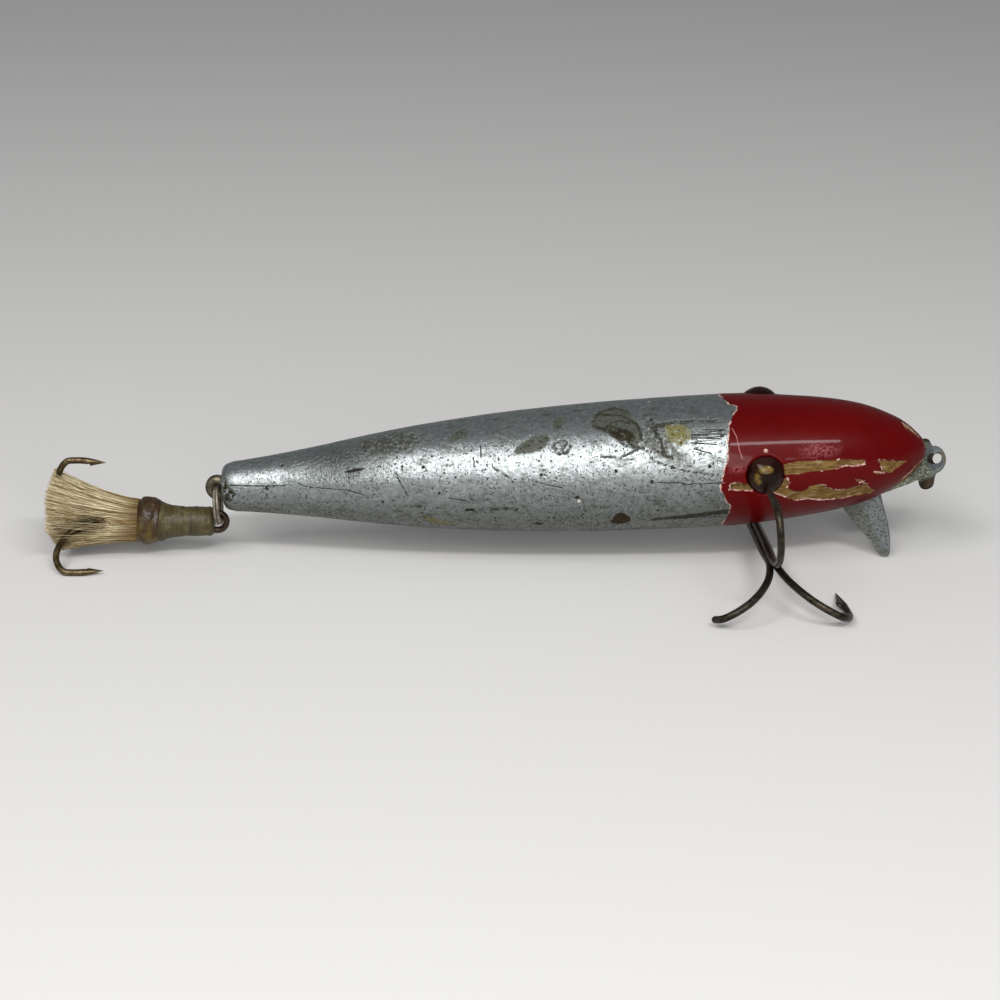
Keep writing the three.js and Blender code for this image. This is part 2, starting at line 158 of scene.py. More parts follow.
collar_edge = np.array([
    (-180, 98.8), (-165, 98), (-152, 98.9), (-134, 97.8), (-120, 98.4), (-104, 97.5), (-92, 98.6), (-77, 98.1),
    (-60, 99), (-50, 98.2), (-42, 98.9), (-35, 98.4), (-28, 99.3), (-24, 98.8), (-20, 99.7), (-15.4, 100),
    (-13.6, 100.3), (-12.6, 101.3), (-9, 101.6), (-5, 101.3), (0, 100.4), (5, 100), (15, 99.5), (25, 99.2),
    (34.5, 98.9), (41.3, 99), (47.9, 98.2), (56.4, 97.7), (62.6, 97.3), (69.3, 97.5), (76.6, 98.2),
    (84.9, 99.2), (92.6, 99), (101.9, 98.3), (113, 97.8), (130, 98.6), (140, 97.6), (150, 98.6), (163, 97.9),
    (180, 98.8)])
bare_outlines = [
    [(109.5, 47.9), (112.7, 46), (116.5, 46.7), (121.4, 47.5), (125.6, 49.6), (125, 54.3), (123.8, 55.4),
     (121.8, 53.2), (120, 54.8), (118.4, 57), (116.5, 56.4), (114.5, 56.6), (112.6, 58), (109.6, 57.4)],
    [(127.9, 51), (134, 61.2), (132.5, 67.9), (130.5, 74.3), (129.2, 70), (128.8, 63.4), (128.5, 57.5)],
    [(109, 61.2), (110.3, 62), (110.2, 66.4), (110.4, 72.4), (111.6, 75.3), (113.7, 75.8), (114.5, 71.6),
     (115.9, 70.2), (117.4, 72.6), (118.7, 77.8), (120, 81.2), (122, 81.6), (123.8, 79.4), (125.6, 80.2),
     (126.3, 88.4), (127.6, 96), (127, 100), (124.2, 96), (121.7, 93.2), (119.8, 93.3), (117, 90.4),
     (113.6, 85.4), (111.6, 85.6), (109.7, 79.4), (107.6, 74), (107.8, 64)],
    [(98.9, 62.4), (100.2, 61.6), (102.6, 63.6), (104, 66), (103.4, 69), (100.4, 68), (99.2, 66.6)],
    [(131.6, 111.5), (132.9, 105), (134.7, 97.5), (136.1, 93.5), (137.4, 90.5), (137.8, 98), (137, 112),
     (133.9, 124)], [(134, -16.5), (134.9, -20), (136.3, -11), (137.2, -7), (136.2, -2), (134.6, -4)],
    [(123.6, 71.4), (124.6, 71.8), (125.2, 75.6), (124.2, 76.2)], [(125.2, 79.4), (126.4, 80.8), (125.6, 83.4)],
    [(127.4, 65.6), (128.6, 66.4), (129, 70.4), (127.6, 69)],
    [(108, -66), (113, -74), (121, -77), (125, -70), (119, -64), (112, -62)],
    [(126, -84), (130, -92), (133, -84), (130, -76)], [(104, 146), (110, 150), (113, 141), (107, 136)]]


def full_turn(count):
    """Angles spread evenly round a circle, from 0 on."""
    return np.linspace(0, 2 * math.pi, count + 1)[:-1]


def blot(at, turn, half, spread):
    """Outline of a small stain: an ellipse whose two half axes wave with the angle round it."""
    a = full_turn(18)
    return np.stack([at + half * np.cos(a) * (1 + 0.24 * np.sin(2 * a + at) + 0.14 * np.sin(5 * a + turn)),
                     turn + spread * np.sin(a) * (1 + 0.22 * np.sin(3 * a + at))], 1)


stain_outlines = {
    "olive": [
        [(57.3, 24.6), (58.4, 18.2), (61.1, 9.4), (63, 7), (64.6, 7.6), (65.2, 12.6), (64.2, 20), (62, 25),
         (59, 26.2)],
        [(72.6, 0), (73.6, -11), (75.4, -19.5), (78, -23.4), (80.2, -16), (81.6, -3), (82.8, 10), (82.6, 24),
         (80.6, 24.5), (78, 18.4), (75.6, 11), (73.8, 7.6)],
        [(65.4, -8), (67.4, -15.6), (68.8, -11), (67.8, -1), (66, 7)],
        [(45.2, 5), (46, -5), (48, -13), (49.5, -6), (48.2, 4.6)], blot(20.5, 151, 5.6, 11),
        blot(70.5, -95, 6.4, 11), blot(50, -119, 5, 8), blot(85.6, 148, 4.6, 9), blot(31, -150, 3.2, 12)],
    "tan": [
        [(86.6, 8), (88, 4), (91, 5.6), (92.6, 15), (92.2, 23), (89.8, 27), (87, 21)],
        [(39.4, 89.5), (43.2, 94), (46.6, 105.5), (42.4, 108), (39.8, 99)], blot(60, -79, 2.6, 5.4)],
    "brown": [
        [(75.8, 102), (76.3, 93), (77.2, 87), (78.3, 86.4), (79.6, 92), (79.8, 100), (78, 104)],
        [(60.6, 101.5), (61.6, 98), (63.3, 99.4), (62.4, 103)], blot(32.5, -60, 1.7, 5)],
    "dark": [
        [(98.8, 62), (104, 63.4), (104, 66.2), (99.2, 65.4)],
        [(75.2, 6.4), (78, 5.4), (80.4, 8.4), (81.6, 16), (80.8, 24), (77.6, 18.6)],
        [(84.1, -1.4), (85.3, -2.4), (85, 1.6)],
        [(83.4, 100), (91, 99.6), (99, 94.6), (99, 87.4), (91, 91.8), (84.4, 95.6)],
        [(58.6, 74.4), (59.7, 76), (61.2, 88), (60, 88)],
        [(0.2, 10), (1.4, 20), (1.8, 40), (3.2, 58), (2.2, 78), (0.4, 96)],
        [(0.4, 130), (1.8, 140), (1.2, 165), (0.3, 168)]],
    "haze": [
        [(26, -16), (31.8, -30), (38, -26), (41, -6), (38.4, 14), (31.8, 13), (26.4, 0)],
        [(83, -10), (86, 4), (89.4, 26), (93, 48), (88.6, 44), (85, 37), (82, 26)],
        [(2, 120), (30, 126), (60, 140), (40, 165), (6, 160)]]}


def to_edge(across, down, start, stop):
    """From points to a straight edge: the distance to its nearest place, which is a share of 0 to 1 of
    the way along it, and the distance square to its line, with a sign for its side."""
    (x0, y0), (x1, y1) = start, stop
    dx, dy = x1 - x0, y1 - y0
    share = np.clip(((across - x0) * dx + (down - y0) * dy) / (dx * dx + dy * dy), 0, 1)
    square = ((across - x0) * dy - (down - y0) * dx) / math.hypot(dx, dy)
    return np.hypot(across - x0 - share * dx, down - y0 - share * dy), square


def within(outlines):
    """How far inside the nearest of the closed outlines a point is, and at least -4: the least distance
    to an outline's edges, above 0 where a line to the side crosses them an odd number of times."""
    deepest = np.full(s.shape, -4.0)
    for pairs in outlines:
        corners = np.array(pairs) * (1.0, math.radians(chart_girth))
        least, inside = np.full(s.shape, np.inf), np.zeros(s.shape, bool)
        for start, stop in zip(corners, np.roll(corners, -1, axis=0)):
            (x0, y0), (x1, y1) = start, stop
            least = np.minimum(least, to_edge(s, v, start, stop)[0])
            inside ^= ((y0 > v) != (y1 > v)) & (s < x0 + (v - y0) * (x1 - x0) / ((y1 - y0) or 1e-9))
        deepest = np.maximum(deepest, np.where(inside, least, -least))
    return deepest


def laid_flat(places):
    """Places on the body, by station and degree, unrolled at the body's own girth."""
    return [(at, math.radians(turn) * np.interp(at, *barrel)) for at, turn in places]


def beside(lines):
    """Nearest of the lines at every point: how far away it is, and the same square to the line with a
    sign for its side, which stays even where the line is thinner than the mesh."""
    near, signed = np.full(s.shape, 9.0), np.full(s.shape, 9.0)
    for corners in map(laid_flat, lines):
        for start, stop in zip(corners[:-1], corners[1:]):
            far, square = to_edge(s, w, start, stop)
            signed = np.where(far < near, square, signed)
            near = np.minimum(near, far)
    return near, signed


def worn_spot(at, turn, half, spread, most):
    """Field of an ellipse: the most in its middle, 1 less at its edge, and within 0 to 1."""
    return np.clip(most - np.hypot((s - at) / half, (degrees - turn) / spread), 0, 1)


thin_lines = [
    [(1.8, 38), (4.4, 40), (8.9, 43.5), (12.8, 44.6)],
    [(15.8, 43), (17.2, 48.4), (20.8, 51.8), (25, 54.5), (27.9, 61)],
    [(84.1, 57.2), (89.8, 58.9), (90.8, 60.3), (97.6, 60.8)], [(51.5, 14.6), (51.5, 24)],
    [(50.1, 26.6), (50.1, 32.6)], [(35, 37.9), (35.5, 46.2), (36.6, 59)], [(92.5, 17.4), (98.4, 18.4)],
    [(92.4, 20.4), (97.5, 22.4)], [(92.3, 25), (96.5, 27.2)], [(92.8, 30.6), (95.4, 34.6)],
    [(94.5, 13.4), (98.2, 14.2)], [(100.2, 15.2), (100.7, 20.8), (100.95, 29.8), (101.5, 39.3)],
    [(45, 66), (48, 69)], [(62, 52), (66.5, 58)], [(22, -60), (47, -66)], [(60, -50), (88, -48)],
    [(20, 170), (55, 165)], [(70, 120), (96, 126)]]
soft_lines = [
    ([(74.6, 32.5), (78.6, 33.7), (80.6, 29.6), (82.8, 26.5), (84.8, 39), (88.8, 46.4), (91.5, 49.6),
      (97.2, 54.6)], 0.05), ([(53.2, 32.7), (54.1, 37.8), (56.9, 48)], 0.05),
    ([(65.4, 21), (66.2, 27), (68, 27.4), (68.8, 21.5), (67.8, 15.2), (66.2, 15.8), (65.4, 20)], 0.12),
    ([(66.2, 22.6), (67.2, 24.2), (67.8, 20.6), (66.9, 18.4)], 0.16),
    ([(84.6, -1), (85.2, 10.9), (86.1, 20.7), (86.7, 34), (88.2, 37.8)], 0.22),
    ([(73.6, 2), (76.6, 10), (79.4, 23.5), (82, 25.5)], 0.22),
    ([(74, -12), (79, -8), (82, 4), (82.6, 20)], 0.14),
    ([(73.4, -2), (74.8, -15), (78, -20), (80.6, -12)], 0.1), ([(76.4, 1), (78.6, -2), (80.6, 3)], 0.08),
    ([(74.6, 5), (77, 4), (80, 9.5)], 0.1), ([(66.4, -9), (66.6, 2)], 0.05), ([(59, 14), (61, 18)], 0.05),
    ([(84.8, 8.3), (87.3, 5), (90.2, 3.9), (94, 4.6), (97.4, 5.6)], 0.34), ([(36, 76.1), (39.5, 77)], 0.1),
    ([(52.7, 77.7), (57.2, 77.8)], 0.06), ([(84.4, 97.8), (91.3, 96)], 0.36), ([(90, 96.4), (99, 90.8)], 0.5),
    ([(53.2, 79.6), (56, 79), (57.8, 79.8)], 0.24), ([(48, 80.8), (49.4, 80.2)], 0.22),
    ([(97.6, 15), (98, 20)], 0.18), ([(60, 160), (72, 168)], 0.2), ([(55, -84), (66, -88)], 0.15)]
chip_lines = [
    [(107.9, 75), (109.7, 80), (111.6, 86.4), (113.6, 86), (117, 91), (119.8, 93.9), (122.4, 94.2)],
    [(119.6, 55.6), (121.8, 53.6), (123.8, 55.8), (125, 54.9)], [(99.2, 67.4), (102.8, 69.8)],
    [(110.3, 62.2), (110.7, 65), (110.2, 68.5)], [(133.4, 101), (135.5, 94), (137.1, 90.5)],
    [(123.9, 71.8), (124.8, 75.8)], [(127.6, 66.6), (128.9, 69.8)], [(134.2, -17.5), (135.6, -12), (136.6, -6)],
    [(110, -67), (118, -65)]]
small_dents = (
    (48.2, 80.6, 0.22), (49.1, 80.0, 0.24), (69.6, 67.7, 0.26), (84.1, 56.7, 0.2), (85.1, 86.4, 0.14),
    (40.2, 30.9, 0.2), (62.9, 45.6, 0.15), (43.0, 59.9, 0.14), (31.9, 71.2, 0.16), (12.4, 4.2, 0.2),
    (9.3, 49.6, 0.18), (77.3, 45.5, 0.15), (95.3, 46.0, 0.18), (54.3, -20.2, 0.15), (70.6, 86.9, 0.14))
long_dent, pink_chip, white_flecks = (26.7, 28.0), (106.2, 35.2), ((69.9, 71.8), (84.7, -29.0))

red = s - np.interp(degrees, collar_edge[:, 0], collar_edge[:, 1])
bare = within(bare_outlines)
thin_near, thin_square = beside(thin_lines)
chip_near, chip_square = beside(chip_lines)
fields = {"red": red, "bare": bare, "chin": np.clip(under_lip, -2, 2), "girth": girth, "thin_near": thin_near,
          "thin_square": thin_square, "chip_near": chip_near, "chip_square": chip_square,
          "worked": np.minimum(9.0, np.min([beside([line])[0] - half for line, half in soft_lines], axis=0)),
          "leather": worn_spot(24.0, 12.0, 13.0, 44.0, 1.0),
          # Two spots on the red: a rubbed scuff at the end of the lamp's line and a spot beside the eye, both with
          # a pink painted highlight.
          "scuff_and_painted_highlight": np.maximum(worn_spot(116.6, 36.5, 4.2, 8.0, 1.2), worn_spot(100.6, 49.5, 1.9, 4.0, 1.1))}
fields.update({name: within(outlines) for name, outlines in stain_outlines.items()})

# The red coat stands up by its thickness, and where it is chipped off the wood lies as much lower.
red_coat = 0.05
stand = red_coat * (red > 0) * (1 - 2 * np.clip((bare + 0.15) / 0.3, 0, 1))
points = points + np.stack([np.zeros_like(s), -np.sin(angle), np.cos(angle)], -1) * stand[..., None]


class Shade:
    """A socket's value inside a material, so that plain Python sums add Math nodes."""

    def __init__(self, tree, socket):
        self.tree = tree
        self.socket = socket

    def math(self, operation, *others):
        node = self.tree.nodes.new("ShaderNodeMath")
        node.operation = operation
        for socket, value in zip(node.inputs, (self, *others)):
            put(self.tree, socket, value)
        return Shade(self.tree, node.outputs[0])

    def __add__(self, other):
        return self.math("ADD", other)

    __radd__ = __add__

    def __sub__(self, other):
        return self.math("SUBTRACT", other)

    def __rsub__(self, other):
        return self.math("MULTIPLY_ADD", -1.0, other)

    def __mul__(self, other):
        return self.math("MULTIPLY", other)

    __rmul__ = __mul__

    def __abs__(self):
        return self.math("ABSOLUTE")

    def most(self, other):
        return self.math("MAXIMUM", other)

    def least(self, other):
        return self.math("MINIMUM", other)


def put(tree, socket, value):
    """Links a value to a socket, or sets it there when it is plain. A colour is three numbers."""
    if isinstance(value, Shade):
        tree.links.new(value.socket, socket)
    else:
        socket.default_value = (*value, 1.0) if socket.type == "RGBA" else value


class Finish:
    """A node material that is put together by expressions. Lengths in its patterns are millimetres."""

    def __init__(self, name):
        self.material = bpy.data.materials.new(name)
        self.material.use_nodes = True
        self.tree = self.material.node_tree
        self.tree.nodes.clear()
        output = self.tree.nodes.new("ShaderNodeOutputMaterial")
        self.shader = self.tree.nodes.new("ShaderNodeBsdfPrincipled")
        self.tree.links.new(self.shader.outputs[0], output.inputs[0])
        place = self.node("ShaderNodeTexCoord", {}, {}, "Object")
        self.place = self.node("ShaderNodeVectorMath", {"operation": "SCALE"}, {0: place, "Scale": 1000.0})

    def node(self, kind, settings, inputs, output=0):
        """Any node: its settings come first, then the values or links of its sockets."""
        node = self.tree.nodes.new(kind)
        for name, value in settings.items():
            setattr(node, name, value)
        for name, value in inputs.items():
            put(self.tree, node.inputs[name], value)
        return Shade(self.tree, node.outputs[output])

    def stretched(self, x, y=1.0, z=1.0, turn=(0.0, 0.0, 0.0)):
        """The place, with patterns drawn out along a direction whose number is below 1."""
        return self.node("ShaderNodeMapping", {}, {"Vector": self.place, "Scale": (x, y, z), "Rotation": turn})

    def noise(self, size, detail=3.0, roughness=0.55, source=None):
        """Clouds of about one size, from 0 to 1 and mostly near 0.5."""
        return self.node("ShaderNodeTexNoise", {}, {
            "Vector": source or self.place, "Scale": 1.0 / size, "Detail": detail, "Roughness": roughness})

    def cells(self, size):
        """Distance to the nearest of points strewn about one size apart, as a share of it."""
        return self.node("ShaderNodeTexVoronoi", {}, {"Vector": self.place, "Scale": 1.0 / size}, "Distance")

    def rise(self, value, low, high):
        """From 0 at low to 1 at high, smoothly. It falls where low is the larger."""
        return self.node("ShaderNodeMapRange", {"interpolation_type": "SMOOTHSTEP"}, {
            "Value": value, "From Min": low, "From Max": high})

    def spots(self, size, low, high, detail=3.0, roughness=0.55, source=None):
        """Noise of one size, cut to spots by a rise."""
        return self.rise(self.noise(size, detail, roughness, source), low, high)

    def coats(self, tone, *coats):
        """Colours laid over the first one in turn, each given after its share."""
        for share, over in coats:
            tone = self.node("ShaderNodeMix", {"data_type": "RGBA"}, {0: share, 6: tone, 7: over}, 2)
        return tone

    def field(self, name):
        """One of the piece's own fields, which its mesh holds at every point."""
        return self.node("ShaderNodeAttribute", {"attribute_name": name}, {}, "Fac")

    def chart(self):
        """The two parameters of the piece's surface, as its own map holds them."""
        chart = self.node("ShaderNodeUVMap", {"uv_map": "chart"}, {})
        return [self.node("ShaderNodeSeparateXYZ", {}, {0: chart}, axis) for axis in (0, 1)]

    def vector(self, operation, first, second, output=0):
        """Vector sum, difference, product or distance of two vectors or plain triples."""
        return self.node("ShaderNodeVectorMath", {"operation": operation}, {0: first, 1: second}, output)

    def relief(self, height, distance):
        """Bumps that stand up by the height's share of a distance in millimetres."""
        return self.node("ShaderNodeBump", {}, {"Height": height, "Distance": distance / 1000.0, "Strength": 1.0})

    def set(self, **values):
        """Sets or links the shader's sockets, and gives the finished material."""
        for name, value in values.items():
            put(self.tree, self.shader.inputs[name.replace("_", " ")], value)
        return self.material


def body_finish():
    """Silver, red, primer and wood, each with tones of its own, laid over each other by the fields of
    wear, with painted shade on the silver's lower side and painted highlights on the red. Two noises sway the
    edges of the fields, so that they look torn."""
    paint = Finish("worn_silver_and_red_paint")
    rise, noise, spots, field, coats = paint.rise, paint.noise, paint.spots, paint.field, paint.coats
    station, degree = paint.chart()
    tremble = noise(0.45, 3.0, 0.6)
    wobble, fine = noise(1.4, 3.0, 0.6) - 0.5, tremble - 0.5
    wander = wobble * 0.5 + fine * 0.3
    round_it = degree * field("girth") * math.radians(1.0)
    unrolled = paint.node("ShaderNodeCombineXYZ", {}, {0: station, 1: round_it})
    shaken = paint.node("ShaderNodeCombineXYZ", {}, {
        0: station + wobble * 0.5, 1: round_it + wobble * 0.9 + fine * 0.35})
    at = lambda place: (*laid_flat([place])[0], 0.0)
    apart = lambda spot, place: paint.vector("DISTANCE", spot, at(place), "Value")
    red = field("red") + wobble * 0.9 + fine * 0.6
    bare = field("bare") + wobble * 0.5 + fine * 0.55
    in_red = rise(red, -0.04, 0.04)
    worn = rise(bare, -0.05, 0.04) * in_red

    # Pinkish-white primer shows at the torn edges of the red, and along the lower edges of the bare strips.
    rim = rise(bare, -0.26, -0.14) * rise(bare, 0.10, -0.02) * spots(2.2, 0.555, 0.60, 3.0, 0.6)
    chip = abs(field("chip_square") + wander) + rise(field("chip_near"), 0.5, 0.9)
    chip = rise(chip + fine * 0.5, 0.20, 0.06) * spots(1.0, 0.40, 0.50, 3.0, 0.6)
    chip = chip.most(rise(apart(unrolled, pink_chip), 0.44, 0.36))
    torn = rise(red, -0.34, -0.2) * rise(red, 0.06, -0.02) * spots(2.6, 0.42, 0.5, 2.0)
    primer = (rim * in_red).most(chip).most(torn).least(1.0)

    ragged = wobble * 1.3 + fine * 0.8
    olive, tan, brown, dark, haze = (rise(field(name) + ragged * sway, low, high) for name, sway, low, high in (
        ("olive", 1.0, -0.15, 0.45), ("tan", 1.3, -0.1, 0.7), ("brown", 0.5, -0.08, 0.12),
        ("dark", 1.2, -0.1, 0.5), ("haze", 2.6, -1.2, 1.8)))
    mottle = noise(0.8, 5.0, 0.7)

    # Bare wood: greyed tan, darker where dirt fills the grain.
    grain = noise(0.35, 4.0, 0.6, paint.stretched(0.08))
    wood = coats((0.080, 0.041, 0.012), (rise(grain, 0.3, 0.7), (0.175, 0.106, 0.034)),
                 (spots(1.5, 0.50, 0.72, 4.0, 0.65) * 0.7, (0.065, 0.034, 0.012)),
                 (spots(0.9, 0.54, 0.66, 4.0, 0.6, paint.stretched(0.2)) * 0.7, (0.30, 0.225, 0.125)),
                 (dark * 0.85, (0.022, 0.014, 0.006)))

    # Aluminium paint: dull bluish grey, clouded, with worn flakes that shine brighter, dirt spots, and a darker
    # coat on the lower side that is painted shade.
    cloud, flakes, grit = noise(6.0, 4.0, 0.62), noise(0.9, 5.0, 0.66), noise(0.20, 3.0, 0.7)
    # low grows towards the lower side: there it darkens the silver as painted shade, and makes the dirt spots,
    # specks and pits a little denser.
    low = rise(degree, 40.0, 105.0)
    grime_and_shade = rise(noise(1.7, 5.0, 0.68, paint.stretched(0.45)) + low * 0.04, 0.54, 0.70)
    leather = field("leather")
    silver = coats((0.206, 0.229, 0.229), (cloud, (0.314, 0.340, 0.335)),
                   (rise(flakes, 0.52, 0.64) * 0.45, (0.47, 0.50, 0.495)),
                   (rise(flakes, 0.48, 0.34) * 0.55, (0.11, 0.118, 0.115)),
                   (rise(grit, 0.48, 0.66) * 0.22, (0.46, 0.48, 0.48)),
                   (grime_and_shade * 0.6, (0.075, 0.075, 0.055)), (low * 0.55, (0.060, 0.060, 0.044)),
                   ((leather * (0.80 + (flakes - 0.5) * 1.8)).most(0.0).least(1.0), (0.078, 0.085, 0.077)))

    # Stains, each broken up by the noise at its outline.
    stain = olive.most(tan)
    olives = coats((0.020, 0.020, 0.010), (rise(mottle, 0.36, 0.64), (0.070, 0.074, 0.046)))
    browns = coats((0.012, 0.006, 0.003), (mottle, (0.045, 0.028, 0.012)))
    silver = coats(silver, (haze * rise(mottle, 0.30, 0.56) * 0.85, (0.040, 0.038, 0.024)),
                   (stain * (1.0 - stain) * 4.0 * rise(mottle, 0.42, 0.58) * 0.7, (0.05, 0.046, 0.03)),
                   (olive * (0.65 + mottle * 0.4), olives),
                   (tan * rise(mottle, 0.30, 0.50), (0.15, 0.138, 0.055)),
                   (dark * rise(mottle, 0.66, 0.48), (0.018, 0.015, 0.007)), (brown, browns))

    # Cracks and scuffs that can be followed by eye, and finer ones strewn by noise.
    crack = abs(field("thin_square") + wander * 0.7) + rise(field("thin_near"), 0.4, 0.8)
    crack = rise(crack, 0.15, 0.05)
    crease = field("worked") + wander * 0.7 + (0.5 - mottle) * 1.2
    crease = rise(crease, 0.26, 0.02) * spots(0.9, 0.34, 0.50, 4.0, 0.65)
    drawn_out = paint.vector("MULTIPLY", paint.vector("SUBTRACT", shaken, at(long_dent)), (0.16, 1.0, 1.0))
    dents = paint.vector("LENGTH", drawn_out, (0.0, 0.0, 0.0), "Value") - 0.26
    for *place, size in small_dents:
        dents = dents.least(apart(shaken, place) - size * 1.5)
    dents = rise(dents, 0.12, -0.02)
    strewn = rise(abs(noise(2.1, 4.0, 0.6) - 0.5), 0.014, 0.002) * spots(2.2, 0.53, 0.60)
    specks = rise(noise(0.46, 4.0, 0.6) + low * 0.03, 0.59, 0.635)
    specks = specks * rise(noise(3.0, 4.0, 0.6) + low * 0.06, 0.42, 0.56)
    pits = rise(paint.cells(1.5) + fine * 0.35, 0.17, 0.09) * rise(noise(2.0) + low * 0.03, 0.48, 0.56)
    sunk = (crack * rise(tremble, 0.32, 0.48)).most(dents).most(pits * 0.9).most(specks * 0.85)
    worked = crease.most(strewn * 0.6)
    fleck = rise(apart(unrolled, white_flecks[0]).least(apart(unrolled, white_flecks[1])), 0.38, 0.26)
    silver = coats(silver, (worked * 0.9, (0.028, 0.026, 0.017)), (sunk * 0.95, (0.012, 0.011, 0.008)),
                   (fleck, (0.78, 0.74, 0.66)))

    # The red: deep crimson with darker clouds, a faint scratch down beside the collar, and two pinkish patches
    # that are painted highlights, the larger on a rubbed scuff.
    scuff_and_painted_highlight = field("scuff_and_painted_highlight")
    reds = coats((0.066, 0.0003, 0.0005), (noise(7.0), (0.092, 0.0005, 0.0008)),
                 (spots(1.1, 0.60, 0.8, 4.0) * 0.4, (0.06, 0.001, 0.001)),
                 (scuff_and_painted_highlight * rise(tremble, 0.36, 0.62) * 0.65, (0.30, 0.10, 0.11)),
                 (crack * 0.5, (0.50, 0.22, 0.20)))
    pinks = coats((0.27, 0.13, 0.10), (rise(mottle, 0.35, 0.65), (0.62, 0.44, 0.38)))
    tone = coats(silver, (in_red, reds), (worn, wood), (primer * 0.93, pinks),
                 (rise(field("chin"), -0.35, 0.1) * 0.75, (0.06, 0.05, 0.03)))

    # Sound silver is metal. Stains, dents and dirt dull it, and the red has a thin gloss over it.
    dull = sunk.most(worked * 0.8).most(dark * 0.9).most(olive * 0.75).most(tan * 0.8).most(brown)
    dull = dull.most(haze * 0.5)
    metal = ((1.0 - in_red) * (1.0 - primer) * (1.0 - dull)).most(0.0)
    satin = 0.37 + (cloud - 0.5) * 0.16 + rise(flakes, 0.40, 0.66) * -0.08 + grime_and_shade * 0.14 + dull * 0.18
    satin = satin + leather * 0.16
    gloss = 0.36 + scuff_and_painted_highlight * 0.25 + spots(2.0, 0.4, 0.7, 4.0) * 0.08
    wrinkle = noise(0.42, 3.0, 0.6, paint.stretched(1.0, 0.55, 0.75, (0.0, 0.5, 0.0)))
    silver_skin = flakes * 0.55 + grit * 0.14 + noise(2.6, 2.0, 0.5) * 0.9 + wrinkle * leather * 3.0
    height = (silver_skin - sunk * 0.75 - worked * 0.4 - olive * 0.12) * (1.0 - in_red)
    red_skin = noise(3.5, 2.0) * 0.30 + noise(0.5) * (0.03 + scuff_and_painted_highlight * 0.22)
    height = height + in_red * (0.55 + red_skin - crack * 0.15)
    height = height - worn * (0.45 + grain * 0.3) + primer * 0.16
    return paint.set(Base_Color=tone, Metallic=metal * 0.9, Specular_IOR_Level=0.06,
                     Roughness=satin * (1.0 - in_red) + gloss * in_red + worn * 0.35,
                     Coat_Weight=(in_red * (1.0 - worn) * (1.0 - primer)).most(0.0) * 0.11,
                     Coat_Roughness=0.07, Normal=paint.relief(height, 0.16))


def grid(points, ring=False, chart=None, finish=0):
    """One closed patch: points[row, column], closed round its columns. A ring is closed round its rows
    too, and any other has both end rows closed by a pole at their mean. The chart gives two numbers for
    each row and column, and the finish is the number of its material."""
    return dict(points=np.asarray(points, float), ring=ring, chart=chart, finish=finish)


def enclosed(places, faces):
    """Volume inside closed faces, above 0 where they face outward: a sixth of the triple products of
    each face's corners, taken in threes from its first corner."""
    corners = places[faces]
    return sum((np.cross(corners[:, 0], corners[:, k]) * corners[:, k + 1]).sum()
               for k in range(1, faces.shape[1] - 1)) / 6


def add_piece(name, mesh):
    """Makes a mesh one of the lure's pieces, in place of the CAD node with the same name."""
    piece = bpy.data.objects.new(name, mesh)
    bpy.context.scene.collection.objects.link(piece)
    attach(piece, "root")
    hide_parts(name)


